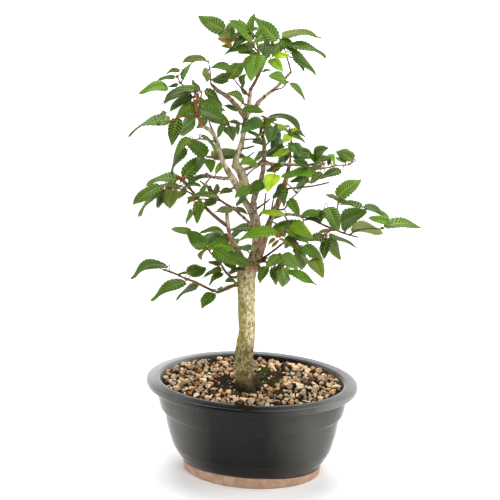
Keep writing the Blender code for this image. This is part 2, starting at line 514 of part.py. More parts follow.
def make_drain_mesh(name, side, collection, plastic):
    """A square of coarse plastic mesh that lies over a drain hole: every second cell of the grid is open."""
    bm = bmesh.new()
    bmesh.ops.create_grid(bm, x_segments=DRAIN_MESH_CELLS, y_segments=DRAIN_MESH_CELLS,
                          size=DRAIN_MESH_SIDE / 2)
    cell = DRAIN_MESH_SIDE / DRAIN_MESH_CELLS
    opened = []
    for face in bm.faces:
        centre = face.calc_center_median()
        column = round((centre.x + DRAIN_MESH_SIDE / 2) / cell - 0.5)
        row = round((centre.y + DRAIN_MESH_SIDE / 2) / cell - 0.5)
        if column % 2 == 1 and row % 2 == 1:
            opened.append(face)
    bmesh.ops.delete(bm, geom=opened, context="FACES")
    grown = bmesh.ops.extrude_face_region(bm, geom=bm.faces[:])["geom"]
    raised = [item for item in grown if isinstance(item, bmesh.types.BMVert)]
    bmesh.ops.translate(bm, vec=(0, 0, DRAIN_MESH_THICKNESS), verts=raised)
    bmesh.ops.translate(bm, vec=(side * DRAIN_HOLE_SPREAD, 0, POT_INSIDE[-1][1] + GAP), verts=bm.verts)
    bmesh.ops.recalc_face_normals(bm, faces=bm.faces)
    return new_object(name, bm, collection, plastic)


def soil_profile():
    """The pot's inside, drawn in by the gap, from above the drain meshes up to the soil's top."""
    bottom = POT_INSIDE[-1][1] + DRAIN_MESH_THICKNESS + 2 * GAP
    inner = [(along - INSIDE_ROOM, height) for along, height in reversed(POT_INSIDE)]
    profile = [(0.0, bottom), (inner[0][0], bottom)]
    profile += [point for point in inner[1:] if bottom < point[1] < SOIL_TOP]
    profile += [(inside_length(SOIL_TOP) - INSIDE_ROOM, SOIL_TOP), (0.0, SOIL_TOP)]
    return ovals(profile, POT_INSIDE_OVAL)


def inside_length(height):
    """Half the length of the pot's inside at this height."""
    for (upper, top), (lower, bottom) in zip(POT_INSIDE, POT_INSIDE[1:]):
        if bottom <= height <= top:
            return lower + (upper - lower) * (height - bottom) / (top - bottom)
    return POT_INSIDE[0][0]


def make_soil(collection, cutters, earth, trunk_place):
    soil = new_object("soil", oval_turned(soil_profile(), POT_SPIN_STEPS), collection, earth)
    cutter = round_cutter("trunk_hole", trunk_place, TRUNK_HOLE_DIAMETER, TRUNK_FOOT_HEIGHT - GAP,
                          SOIL_TOP + 5, cutters, earth)
    return boolean(soil, "DIFFERENCE", "soil", collection, earth, other=cutter)


def make_gravel(collection, stone, trunk_place):
    """A layer with a flat underside, whose top is a relief of pebbles: a lattice of which each third point
    is a pebble's top and the others lie between the pebbles."""
    draw = random.Random(PEBBLE_SEED)
    length = inside_length(SOIL_TOP) - INSIDE_ROOM
    width = length * POT_INSIDE_OVAL
    centre = Vector(trunk_place)
    edge_count = GRAVEL_EDGE_POINTS
    hole_count = GRAVEL_HOLE_POINTS
    points = [Vector((length * math.cos(turn), width * math.sin(turn)))
              for turn in (math.tau * i / edge_count for i in range(edge_count))]
    points += [centre + GRAVEL_HOLE_RADIUS * Vector((math.cos(turn), math.sin(turn)))
               for turn in (-math.tau * i / hole_count for i in range(hole_count))]
    tops = {}
    row_height = PEBBLE_SPACING * math.sqrt(3) / 2
    for row in range(-PEBBLE_ROWS, PEBBLE_ROWS + 1):
        for column in range(-PEBBLE_COLUMNS, PEBBLE_COLUMNS + 1):
            place = Vector(((column + 0.5 * (row % 2)) * PEBBLE_SPACING, row * row_height))
            jitter = Vector((draw.uniform(-1, 1), draw.uniform(-1, 1))) * PEBBLE_JITTER * PEBBLE_SPACING
            is_top = (column + row // 2 + 2 * (row % 2)) % 3 == 0
            place += jitter
            out = (place.x / (length - PEBBLE_EDGE_ROOM)) ** 2 + (place.y / (width - PEBBLE_EDGE_ROOM)) ** 2
            if out < 1 and (place - centre).length > GRAVEL_HOLE_RADIUS + PEBBLE_EDGE_ROOM:
                if is_top:
                    tops[len(points)] = draw.uniform(0.6, 1.0)
                points.append(place)
    edge = [(i, (i + 1) % edge_count) for i in range(edge_count)]
    hole = [(edge_count + i, edge_count + (i + 1) % hole_count) for i in range(hole_count)]
    flat, _, faces, origins, _, _ = delaunay_2d_cdt(points, edge + hole, [], 1, 0.001)
    bm = bmesh.new()
    verts = []
    for place, origin in zip(flat, origins):
        out = (place.x / length) ** 2 + (place.y / width) ** 2
        height = GRAVEL_EDGE_HEIGHT + GRAVEL_MOUND * (1 - out)
        height += PEBBLE_HEIGHT * tops.get(origin[0] if origin else -1, -PEBBLE_SINK)
        verts.append(bm.verts.new((place.x, place.y, height)))
    for face in faces:
        middle = sum((flat[i] for i in face), Vector((0, 0))) / 3
        if (middle - centre).length > GRAVEL_HOLE_RADIUS * math.cos(math.pi / hole_count):
            bm.faces.new([verts[i] for i in face])
    bmesh.ops.delete(bm, geom=[vert for vert in bm.verts if not vert.link_faces], context="VERTS")
    grown = bmesh.ops.extrude_face_region(bm, geom=bm.faces[:])["geom"]
    for item in grown:
        if isinstance(item, bmesh.types.BMVert):
            item.co.z = SOIL_TOP + GAP
    bmesh.ops.recalc_face_normals(bm, faces=bm.faces)
    return new_object("gravel", bm, collection, stone)


# The tree


def seen(across, down, depth):
    """The point that lies behind this place of the view frame at this depth, in millimetres."""
    right = Vector((math.cos(VIEW_TURN), math.sin(VIEW_TURN), 0.0))
    away = Vector((-math.sin(VIEW_TURN), math.cos(VIEW_TURN), 0.0))
    above = Vector((0.0, 0.0, 1.0))
    up = away * math.sin(VIEW_TILT) + above * math.cos(VIEW_TILT)
    sight = away * math.cos(VIEW_TILT) - above * math.sin(VIEW_TILT)
    aim = above * VIEW_AIM_HEIGHT + right * VIEW_AIM_ASIDE
    eye = aim - sight * VIEW_DISTANCE
    ray = aim + right * (across - VIEW_HALF) + up * (VIEW_HALF - down) - eye
    return eye + ray * ((depth - away.dot(eye)) / away.dot(ray))


def tube(name, points, diameters, sides, collection, material):
    """A tapering tube of 4, 6, 8 or 10 sides along points in millimetres, as a closed mesh."""
    curve = bpy.data.curves.new(name, "CURVE")
    curve.dimensions = "3D"
    curve.bevel_depth = MM
    curve.bevel_resolution = (sides - 4) // 2
    curve.use_fill_caps = True
    spline = curve.splines.new("POLY")
    spline.points.add(len(points) - 1)
    for knot, place, diameter in zip(spline.points, points, diameters):
        knot.co = (*(place * MM), 1.0)
        knot.radius = diameter / 2
    guide = bpy.data.objects.new(name, curve)
    collection.objects.link(guide)
    return frozen(guide, name, collection, material)


def cut_line(points, length):
    """A line in two: the first part up to this length, and the rest from a gap beyond it."""
    start, second = points[0], points[1]
    ahead = (second - start).normalized()
    return [start, start + ahead * length], [start + ahead * (length + GAP)] + list(points[1:])


def wood_radius(points, place):
    """The radius of the wood nearest to this place, from all tubes' points and diameters."""
    nearest = None
    for line in points:
        for (start, wide), (end, narrow) in zip(line, line[1:]):
            along = end - start
            share = max(0.0, min(1.0, (place - start).dot(along) / along.length_squared))
            apart = (place - start - along * share).length
            if nearest is None or apart < nearest[0]:
                nearest = (apart, (wide + (narrow - wide) * share) / 2)
    return nearest[1]


class Leaf:
    """One leaf: the stations along its stalk and midrib, each with its place, side, normal and half width."""

    def __init__(self, twig, entry, shift):
        base_across, base_down, tip_across, tip_down, seen_width, lean, arch = entry
        seen_length = math.hypot(tip_across - base_across, tip_down - base_down)
        times, more = BLADE_LENGTH_FOR_WIDTH
        length = max(BLADE_LENGTH_FOR_SEEN * seen_length, times * seen_width + more, BLADE_LEAST_LENGTH)
        reach = math.sqrt(length ** 2 - seen_length ** 2)
        underside = lean > 1.5
        toward = lean - 2 if underside else lean
        chosen = None
        for at in twig:
            root = seen(*at)
            base = seen(base_across, base_down, at[2] + shift[0])
            tip = seen(tip_across, tip_down, at[2] + toward * reach + shift[1])
            stalk = base - root
            bend = 1 - stalk.normalized().dot((tip - base).normalized())
            if chosen is None or stalk.length + STALK_BEND_COST * bend < chosen[0]:
                chosen = (stalk.length + STALK_BEND_COST * bend, root, base, tip)
        root, base, tip = chosen[1:]
        axis = (tip - base).normalized()
        if (base - root).length < STALK_LEAST:
            base += axis * (STALK_LEAST - (base - root).length)
        length = (tip - base).length
        width = max(BLADE_WIDTH_SHARE * length, seen_width / SEEN_WIDTH_MOST)
        eye = (seen(base_across, base_down, -VIEW_DISTANCE / 2) - base).normalized()
        facing = (eye - axis * eye.dot(axis)).normalized()
        aside = axis.cross(facing)
        turn = math.acos(min(1.0, seen_width / width))
        face = -facing if underside else facing
        normal = max((face * math.cos(turn) + aside * math.sin(turn) * sign for sign in (-1, 1)),
                     key=lambda n: n.z)
        steps = next(count for least, count in BLADE_STEPS if length >= least)
        self.root = root
        self.columns = 2 if length >= FOLDED_BLADE_LENGTH else 1
        self.stations = []
        rising, falling, peak = BLADE_ROUNDNESS
        for i in range(steps + 1):
            share = i / steps
            place = base + axis * length * share + normal * (arch * length * 4 * share * (1 - share))
            slope = (axis + normal * (arch * 4 * (1 - 2 * share))).normalized()
            upright = (normal - slope * normal.dot(slope)).normalized()
            half = width / 2 * share ** rising * (1 - share) ** falling / peak * BLADE_TEETH[i % 2]
            if i == 0:
                half = STALK_DIAMETER / 2
            if i == steps:
                half = 0.0
            self.stations.append((place, slope.cross(upright), upright, half))
        along = (base - root).normalized()
        self.own_stalk = along.dot(axis) < STALK_BEND_MOST
        if not self.own_stalk:
            turned = axis.rotation_difference(along)
            self.stations.insert(0, (root, turned @ axis.cross(normal), turned @ normal, STALK_DIAMETER / 2))

    def blade(self, thickness, start=0):
        """A bmesh of the leaf: a grid laid along its stations, folded at the midrib, then thickened."""
        bm = bmesh.new()
        out = bm.verts.layers.float_vector.new("out")
        last = len(self.stations) - 1 - start
        bmesh.ops.create_grid(bm, x_segments=last, y_segments=self.columns, size=0.5)
        for vert in bm.verts:
            number = round((vert.co.x + 0.5) * last) + start
            across = round(vert.co.y * 2)
            place, aside, upright, half = self.stations[number]
            fold = BLADE_FOLD + BLADE_TOOTH_WAVE * (-1) ** number
            vert.co = place + aside * (half * across) + upright * (half * abs(across) * fold + thickness / 2)
            vert[out] = upright
        bmesh.ops.remove_doubles(bm, verts=bm.verts, dist=0.01)
        bmesh.ops.triangulate(bm, faces=bm.faces)
        grown = bmesh.ops.extrude_face_region(bm, geom=bm.faces[:])["geom"]
        for item in grown:
            if isinstance(item, bmesh.types.BMVert):
                item.co -= item[out] * thickness
        bmesh.ops.triangulate(bm, faces=bm.faces)
        bmesh.ops.recalc_face_normals(bm, faces=bm.faces)
        return bm

    def stalk(self, diameter):
        """A bmesh of the stalk of a leaf that turns back over its twig, sunk into twig and blade."""
        bm = bmesh.new()
        first, second = self.stations[0][0], self.stations[1][0]
        end = first + (second - first).normalized() * STALK_SUNK
        along = end - self.root
        bmesh.ops.create_cone(bm, cap_ends=True, segments=4, radius1=diameter / 2, radius2=diameter / 2,
                              depth=along.length)
        turned = Vector((0, 0, 1)).rotation_difference(along).to_matrix()
        bmesh.ops.rotate(bm, matrix=turned, cent=(0, 0, 0), verts=bm.verts)
        bmesh.ops.translate(bm, vec=(self.root + end) / 2, verts=bm.verts)
        return bm


def twig_samples(points):
    """Places along a twig, as across, down and depth, from a little beyond its stub on."""
    found = []
    for start, end in zip(points, points[1:]):
        for i in range(TWIG_SAMPLES):
            found.append(tuple(a + (b - a) * i / TWIG_SAMPLES for a, b in zip(start, end)))
    return found[TWIG_FIRST_SAMPLE:]


def tree_of(bm):
    found = BVHTree.FromBMesh(bm)
    bm.free()
    return found


def placed_leaf(samples, entry, others, siblings):
    """The leaf at the first shift at which all of it keeps clear of the other pieces, and its blade keeps
    clear of the blades on its own twig."""
    for shift in LEAF_SHIFTS:
        leaf = Leaf(samples, entry, shift)
        rooms = [tree_of(leaf.blade(BLADE_ROOM))]
        if leaf.own_stalk:
            rooms.append(tree_of(leaf.stalk(BLADE_ROOM)))
        blade = tree_of(leaf.blade(BLADE_ROOM, 0 if leaf.own_stalk else 2))
        if not any(room.overlap(other) for room in rooms for other in others):
            if not any(blade.overlap(sibling) for sibling in siblings):
                return leaf
    print("no clear place for the leaf", entry)
    return None


def make_wood(collection, parts, bark, trunk_place):
    """The trunk with its stems, branches and bare twigs, and a stub for each spray's twig, as one body."""
    x, y = trunk_place
    below = [Vector((x, y, TRUNK_FOOT_HEIGHT)), Vector((x, y, SOIL_TOP - 0.6))]
    trunk_line = below + [seen(*at[:3]) for at in TRUNK]
    diameters = [TRUNK_FOOT_DIAMETER] * 2 + [at[3] for at in TRUNK]
    lines = [list(zip(trunk_line, diameters))]
    trunk = tube("wood", trunk_line, diameters, 10, collection, bark)
    for sides, points in BRANCHES:
        line = [seen(*at[:3]) for at in points]
        lines.append(list(zip(line, [at[3] for at in points])))
        tube("branch", line, [at[3] for at in points], sides, parts, bark)
    rests = []
    for name, points, _ in SPRAYS:
        line = [seen(*at) for at in points]
        stub, rest = cut_line(line, wood_radius(lines, line[0]) + STUB_LENGTH)
        tube("stub", stub, (TWIG_DIAMETERS[0], TWIG_DIAMETERS[0]), TWIG_SIDES, parts, bark)
        rests.append(rest)
    made = boolean(trunk, "UNION", "trunk", collection, bark, others=parts)
    made.data.shade_smooth()
    return made, rests


def make_sprays(collection, parts, leaf_green, wood, rests):
    """Each spray as one body: all the twigs first, then leaf by leaf, each clear of what stands already."""
    wood_tree = BVHTree.FromPolygons([vert.co / MM for vert in wood.data.vertices],
                                     [face.vertices[:] for face in wood.data.polygons])
    twigs = []
    for (name, points, _), rest in zip(SPRAYS, rests):
        first, last = TWIG_DIAMETERS
        diameters = [first + (last - first) * i / (len(rest) - 1) for i in range(len(rest))]
        twigs.append(tube("twig", rest, diameters, TWIG_SIDES, collection, leaf_green))
    trees = [BVHTree.FromPolygons([vert.co / MM for vert in twig.data.vertices],
                                  [face.vertices[:] for face in twig.data.polygons]) for twig in twigs]
    standing = []
    for number, (name, points, entries) in enumerate(SPRAYS):
        samples = twig_samples(points)
        others = [wood_tree] + trees[:number] + trees[number + 1:] + standing
        siblings = []
        for entry in entries:
            leaf = placed_leaf(samples, entry, others, siblings)
            if leaf is None:
                continue
            new_object("leaf", leaf.blade(BLADE_THICKNESS), parts, leaf_green)
            standing.append(tree_of(leaf.blade(BLADE_THICKNESS)))
            siblings.append(tree_of(leaf.blade(BLADE_THICKNESS, 0 if leaf.own_stalk else 2)))
            if leaf.own_stalk:
                new_object("stalk", leaf.stalk(STALK_DIAMETER), parts, leaf_green)
                standing.append(tree_of(leaf.stalk(STALK_DIAMETER)))
        boolean(twigs[number], "UNION", name, collection, leaf_green, others=parts)


empty_scene()
bonsai = new_collection("korean_hornbeam_bonsai")
cutters = new_collection("cutters")
joined = new_collection("joined_pieces")
glaze = new_material("dark_glaze", (0.012, 0.013, 0.014), 0.25)
plastic = new_material("mesh_plastic", (0.02, 0.02, 0.02), 0.6)
earth = new_material("soil", (0.02, 0.013, 0.009), 0.95)
stone = new_material("gravel", (0.45, 0.30, 0.19), 0.85)
bark = new_material("bark", (0.42, 0.36, 0.24), 0.8)
leaf_green = new_material("leaf", (0.08, 0.19, 0.03), 0.45)
trunk_foot = seen(*TRUNK[0][:3])
trunk_place = (trunk_foot.x, trunk_foot.y)
make_pot(bonsai, cutters, glaze)
make_drain_mesh("drain_mesh_left", -1, bonsai, plastic)
make_drain_mesh("drain_mesh_right", 1, bonsai, plastic)
make_soil(bonsai, cutters, earth, trunk_place)
make_gravel(bonsai, stone, trunk_place)
wood, rests = make_wood(bonsai, joined, bark, trunk_place)
make_sprays(bonsai, joined, leaf_green, wood, rests)
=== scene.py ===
"""A potted Korean hornbeam bonsai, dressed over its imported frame: the view and its light, then the pot, the
drain meshes, the soil, the gravel, the moss, the wood and the leafy sprays, in the order in which it is
planted."""

import math
import random

import bmesh
import bpy
from mathutils import Matrix, Vector, noise
from mathutils.kdtree import KDTree


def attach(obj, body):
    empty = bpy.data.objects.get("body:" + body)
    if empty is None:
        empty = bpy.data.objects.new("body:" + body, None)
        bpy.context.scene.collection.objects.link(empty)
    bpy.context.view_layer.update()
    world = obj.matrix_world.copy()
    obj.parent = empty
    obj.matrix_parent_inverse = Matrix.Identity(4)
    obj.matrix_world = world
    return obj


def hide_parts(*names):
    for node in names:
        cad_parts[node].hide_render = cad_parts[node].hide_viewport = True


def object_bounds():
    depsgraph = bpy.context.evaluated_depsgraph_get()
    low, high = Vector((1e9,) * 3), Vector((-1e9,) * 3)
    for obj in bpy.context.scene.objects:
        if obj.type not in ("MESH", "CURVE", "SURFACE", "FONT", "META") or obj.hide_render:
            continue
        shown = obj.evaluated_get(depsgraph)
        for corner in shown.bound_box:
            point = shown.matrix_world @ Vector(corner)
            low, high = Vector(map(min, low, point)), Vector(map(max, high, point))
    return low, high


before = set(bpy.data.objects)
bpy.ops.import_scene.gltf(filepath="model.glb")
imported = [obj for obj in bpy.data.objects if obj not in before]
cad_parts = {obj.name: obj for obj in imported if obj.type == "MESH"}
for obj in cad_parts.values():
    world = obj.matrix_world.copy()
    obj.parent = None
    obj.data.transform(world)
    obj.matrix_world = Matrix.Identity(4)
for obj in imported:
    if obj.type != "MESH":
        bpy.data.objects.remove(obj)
cad_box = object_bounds()

# The view, the floor and the light
# A camera that looks down on the pot from a little to the right of its short axis, over a plain pale floor,
# in the light of large soft lamps: three for the tree and one over the floor behind it.
MM = 0.001
# The view's lengths are in millimetres
VIEW_TURN = math.radians(15.5)
VIEW_TILT = math.radians(19.0)
VIEW_DISTANCE = 3000.0
VIEW_HALF = 250.0
VIEW_AIM_HEIGHT = 236.3
VIEW_AIM_ASIDE = -1.7
LENS = 216.0
# Each lamp's name, its place to the right, away and up, its side, all in metres, and its watts
LAMPS = (
    ("left_lamp", (-1.9, 0.1, 1.2), 1.5, 20.0),
    ("right_lamp", (1.9, -0.2, 1.3), 1.5, 32.0),
    ("top_lamp", (0.4, -1.9, 2.3), 1.2, 32.0),
    ("floor_lamp", (0.0, 1.7, 4.6), 3.6, 270.0),
)
# How bright the paper is beside the tree and behind it, the heights over which it ends, and the room's light
PAPER_LIGHT = (0.85, 2.2)
PAPER_TOP = (0.34, 0.44)
ROOM_LIGHT = 0.12
FLOOR_RADIUS = 1.4
FLOOR_STEPS = 96
WHITE = (1.0, 1.0, 1.0, 1.0)
right = Vector((math.cos(VIEW_TURN), math.sin(VIEW_TURN), 0.0))
away = Vector((-math.sin(VIEW_TURN), math.cos(VIEW_TURN), 0.0))
above = Vector((0.0, 0.0, 1.0))
up = away * math.sin(VIEW_TILT) + above * math.cos(VIEW_TILT)
sight = away * math.cos(VIEW_TILT) - above * math.sin(VIEW_TILT)
aim = above * VIEW_AIM_HEIGHT + right * VIEW_AIM_ASIDE
eye = aim - sight * VIEW_DISTANCE


def turned_to(sideways, upwards, backwards, place):
    """The matrix of a thing at this place whose own axes point these ways."""
    turned = Matrix((sideways, upwards, backwards)).transposed().to_4x4()
    turned.translation = place
    return turned


camera = bpy.data.objects.new("camera", bpy.data.cameras.new("camera"))
camera.data.lens = LENS
camera.data.clip_end = 50.0
camera.matrix_world = turned_to(right, up, -sight, eye * MM)
bpy.context.scene.collection.objects.link(camera)
bpy.context.scene.camera = camera

for name, (rightward, behind, upward), side, watts in LAMPS:
    lamp = bpy.data.objects.new(name, bpy.data.lights.new(name, "AREA"))
    lamp.data.size = side
    lamp.data.energy = watts
    place = right * rightward + away * behind + above * upward
    backwards = (place - aim * MM).normalized()
    sideways = above.cross(backwards).normalized()
    lamp.matrix_world = turned_to(sideways, backwards.cross(sideways), backwards, place)
    bpy.context.scene.collection.objects.link(lamp)

world = bpy.data.worlds.new("studio")
world.use_nodes = True
bpy.context.scene.world = world
bpy.context.scene.view_settings.view_transform = "Standard"


def fill(tree, sockets, inputs):
    """Gives sockets their values, or links them to other nodes' outputs."""
    for name, value in inputs.items():
        if isinstance(value, bpy.types.NodeSocket):
            tree.links.new(value, sockets[name])
        else:
            sockets[name].default_value = value


def add_node(tree, kind, inputs=None, **settings):
    made = tree.nodes.new("ShaderNode" + kind)
    for name, value in settings.items():
        setattr(made, name, value)
    fill(tree, made.inputs, inputs or {})
    return made


def ranged(tree, value, low, high, first=0.0, last=1.0):
    """A value carried from one range to another, and held at its ends."""
    return add_node(tree, "MapRange", {"Value": value, "From Min": low, "From Max": high, "To Min": first,
                                       "To Max": last}).outputs["Result"]


# White paper stands round the floor, well lit behind the tree; above it the room is dim. What is seen past
# the floor is plain white
tree = world.node_tree
ways = add_node(tree, "TexCoord").outputs["Generated"]
behind = add_node(tree, "VectorMath", {0: ways, 1: away}, operation="DOT_PRODUCT").outputs["Value"]
paper = ranged(tree, behind, 0.6, 0.95, *PAPER_LIGHT)
over_paper = ranged(tree, add_node(tree, "SeparateXYZ", {0: ways}).outputs["Z"], *PAPER_TOP)
lit = add_node(tree, "Mix", {0: over_paper, 2: paper, 3: ROOM_LIGHT}).outputs[0]
looked_at = add_node(tree, "LightPath").outputs["Is Camera Ray"]
backdrop = add_node(tree, "Mix", {0: looked_at, 2: lit, 3: PAPER_LIGHT[1]}).outputs[0]
tree.links.new(backdrop, tree.nodes["Background"].inputs["Strength"])
tree.nodes["Background"].inputs["Color"].default_value = WHITE


def mixed(tree, share, first, second, **settings):
    """One colour mixed with a share of another."""
    return add_node(tree, "Mix", {0: share, 6: first, 7: second}, data_type="RGBA", **settings).outputs[2]


def feed(tree, inputs):
    """Fills the inputs of the material's shader."""
    fill(tree, tree.nodes["Principled BSDF"].inputs, inputs)


def new_finish(name):
    made = bpy.data.materials.new(name)
    made.use_nodes = True
    return made, made.node_tree


SCREEN_MOST = 255
SCREEN_GAMMA = 2.2


def colour(red, green, blue):
    """A shader's colour from the three values that a screen shows."""
    return tuple((value / SCREEN_MOST) ** SCREEN_GAMMA for value in (red, green, blue)) + (1.0,)


def cloudy_group():
    """Clouds over a surface: a colour that wanders between two, the share of the second, and a height."""
    group = bpy.data.node_groups.new("cloudy", "ShaderNodeTree")
    for name, kind, value in (("First", "Color", (0, 0, 0, 1)), ("Second", "Color", (1, 1, 1, 1)),
                              ("Scale", "Float", 100.0), ("Stretch", "Vector", (1, 1, 1)),
                              ("Low", "Float", 0.4), ("High", "Float", 0.6)):
        socket = group.interface.new_socket(name, in_out="INPUT", socket_type="NodeSocket" + kind)
        socket.default_value = value
    for name, kind in (("Colour", "Color"), ("Share", "Float"), ("Height", "Float")):
        group.interface.new_socket(name, in_out="OUTPUT", socket_type="NodeSocket" + kind)
    given = group.nodes.new("NodeGroupInput").outputs
    place = add_node(group, "TexCoord").outputs["Object"]
    stretched = add_node(group, "VectorMath", {0: place, 1: given["Stretch"]}, operation="MULTIPLY")
    clouds = add_node(group, "TexNoise", {"Vector": stretched.outputs[0], "Scale": given["Scale"],
                                          "Detail": 4.0, "Roughness": 0.6}).outputs["Fac"]
    share = ranged(group, clouds, given["Low"], given["High"])
    put = group.nodes.new("NodeGroupOutput").inputs
    group.links.new(mixed(group, share, given["First"], given["Second"]), put["Colour"])
    group.links.new(share, put["Share"])
    group.links.new(clouds, put["Height"])
    return group


cloudy = cloudy_group()


def clouds(tree, inputs):
    """The clouds' group placed in a material with its own values; gives its outputs."""
    made = tree.nodes.new("ShaderNodeGroup")
    made.node_tree = cloudy
    fill(tree, made.inputs, inputs)
    return made.outputs


def bumped(tree, height, distance, strength=1.0, under=None):
    """A bump of this height in millimetres; gives its normal."""
    inputs = {"Height": height, "Distance": distance * MM, "Strength": strength}
    if under:
        inputs["Normal"] = under
    return add_node(tree, "Bump", inputs).outputs["Normal"]


floor_finish, tree = new_finish("pale_floor")
pale = clouds(tree, {"First": colour(246, 246, 246), "Second": colour(250, 250, 250), "Scale": 3.0})
feed(tree, {"Base Color": pale["Colour"], "Roughness": 0.9, "Specular IOR Level": 0.1})
bm = bmesh.new()
bmesh.ops.create_circle(bm, cap_ends=True, segments=FLOOR_STEPS, radius=FLOOR_RADIUS)
mesh = bpy.data.meshes.new("floor")
bm.to_mesh(mesh)
bm.free()
mesh.materials.append(floor_finish)
floor = bpy.data.objects.new("floor", mesh)
bpy.context.scene.collection.objects.link(floor)

# The pot
# One oval piece of stoneware, thrown, drawn in to an oval and fired: a projecting rim, a band under it, a
# body that narrows to the foot. Near black glaze runs down to a bare terracotta foot.
POT_STEPS = 96
POT_SHELL = (
    (0.0, 0.0, 0.76), (40.0, 0.0, 0.76), (66.0, 0.0, 0.76), (69.9, 0.1, 0.76), (70.7, 0.8, 0.76),
    (71.3, 6.0, 0.76), (71.8, 11.5, 0.76), (72.3, 12.2, 0.76), (73.4, 12.9, 0.76), (75.4, 15.6, 0.76),
    (77.4, 18.7, 0.76), (79.2, 21.6, 0.76), (80.5, 24.3, 0.76), (81.5, 25.5, 0.76), (82.2, 27.0, 0.76),
    (83.3, 30.0, 0.76), (85.9, 38.5, 0.76), (88.1, 47.0, 0.76), (89.6, 56.0, 0.76), (91.1, 62.0, 0.76),
    (91.5, 63.9, 0.76), (92.3, 64.8, 0.76), (94.2, 65.5, 0.76), (95.0, 66.8, 0.76), (95.8, 70.0, 0.76),
    (97.3, 78.0, 0.76), (98.3, 86.4, 0.76), (98.9, 88.4, 0.76), (100.4, 89.2, 0.76), (103.0, 89.4, 0.76),
    (106.3, 89.5, 0.76), (108.0, 90.2, 0.76), (109.0, 91.6, 0.76), (109.2, 93.2, 0.76), (109.0, 95.2, 0.76),
    (108.3, 96.3, 0.76), (106.6, 96.8, 0.757), (102.4, 97.2, 0.745), (98.6, 97.5, 0.73),
    (96.6, 97.5, 0.722), (95.5, 97.1, 0.72), (94.7, 95.9, 0.72), (93.4, 92.4, 0.72), (91.0, 86.0, 0.72),
    (88.0, 73.0, 0.72), (84.0, 56.0, 0.72), (78.5, 36.0, 0.72), (72.6, 21.5, 0.72), (68.0, 14.6, 0.72),
    (61.0, 12.2, 0.72), (40.0, 12.0, 0.72), (0.0, 12.0, 0.72),
)
POT_FLOOR = 12.0
DRAIN_HOLE_DIAMETER = 14.0
DRAIN_HOLE_SPREAD = 35.0
DRAIN_HOLE_STEPS = 40
POT_SHARP_FROM = math.radians(50)
# The glaze's own values are in metres, or in square metres where they are set against the square of the
# place along the pot
GLAZE_DROP_AT_ENDS = 0.75
GLAZE_WAVER = 0.0022
GLAZE_EDGE = (0.0131, 0.0136)
# Where the painted reflection greys the glaze: how far aside of the middle it is least, how far its streaks
# move it, and the squares of the place along the pot over which it comes in on the body and on the rim's ends
SHEEN_LEAST_ASIDE = 0.006
SHEEN_STREAKS = 0.0016
PAINTED_SHEEN = (0.0014, 0.0052)
PAINTED_RIM_SHEEN = (0.006, 0.0115)
RIM_HEIGHTS = (0.0885, 0.0915)


def new_piece(name, bm, finish):
    """An object from a bmesh in millimetres, smooth all over."""
    bmesh.ops.scale(bm, vec=(MM, MM, MM), verts=bm.verts)
    mesh = bpy.data.meshes.new(name)
    bm.to_mesh(mesh)
    bm.free()
    mesh.materials.append(finish)
    mesh.shade_smooth()
    made = bpy.data.objects.new(name, mesh)
    bpy.context.scene.collection.objects.link(made)
    return made


def applied(obj):
    """The object with its modifiers made part of its mesh."""
    bpy.context.view_layer.update()
    graph = bpy.context.evaluated_depsgraph_get()
    mesh = bpy.data.meshes.new_from_object(obj.evaluated_get(graph))
    obj.modifiers.clear()
    old = obj.data
    obj.data = mesh
    bpy.data.meshes.remove(old)
    mesh.name = obj.name
    return obj


def oval_turned(profile, steps):
    """A closed body from a profile of half lengths, heights and half widths for half lengths, turned about
    Z and drawn in across."""
    bm = bmesh.new()
    oval = bm.verts.layers.float.new("oval")
    rows = [bm.verts.new((along, 0.0, height)) for along, height, _ in profile]
    for vert, (_, _, share) in zip(rows, profile):
        vert[oval] = share
    line = [bm.edges.new(pair) for pair in zip(rows, rows[1:])]
    bmesh.ops.spin(bm, geom=rows + line, axis=(0, 0, 1), cent=(0, 0, 0), angle=math.tau, steps=steps,
                   use_merge=True, use_duplicate=False)
    bmesh.ops.remove_doubles(bm, verts=bm.verts, dist=0.001)
    for vert in bm.verts:
        vert.co.y *= vert[oval]
    bm.verts.layers.float.remove(oval)
    bmesh.ops.recalc_face_normals(bm, faces=bm.faces)
    return bm


def worked_out(tree, operation, *values):
    return add_node(tree, "Math", dict(enumerate(values)), operation=operation).outputs[0]


glaze, tree = new_finish("dark_glaze_and_terracotta")
place = add_node(tree, "SeparateXYZ", {0: add_node(tree, "TexCoord").outputs["Object"]}).outputs
# The glaze ends lower on the pot's two ends than on its long sides, in a line that wavers
ends = worked_out(tree, "MULTIPLY", place["X"], place["X"])
lifted = worked_out(tree, "MULTIPLY_ADD", ends, GLAZE_DROP_AT_ENDS, place["Z"])
waver = worked_out(tree, "MULTIPLY_ADD", clouds(tree, {"Scale": 28.0})["Height"], GLAZE_WAVER, lifted)
glazed = ranged(tree, waver, *GLAZE_EDGE)
black = clouds(tree, {"First": colour(9, 10, 10), "Second": colour(24, 24, 23), "Scale": 45.0, "Low": 0.3,
                      "High": 0.7})
fired = clouds(tree, {"First": colour(166, 130, 108), "Second": colour(192, 160, 138), "Scale": 160.0,
                      "Low": 0.3, "High": 0.72})
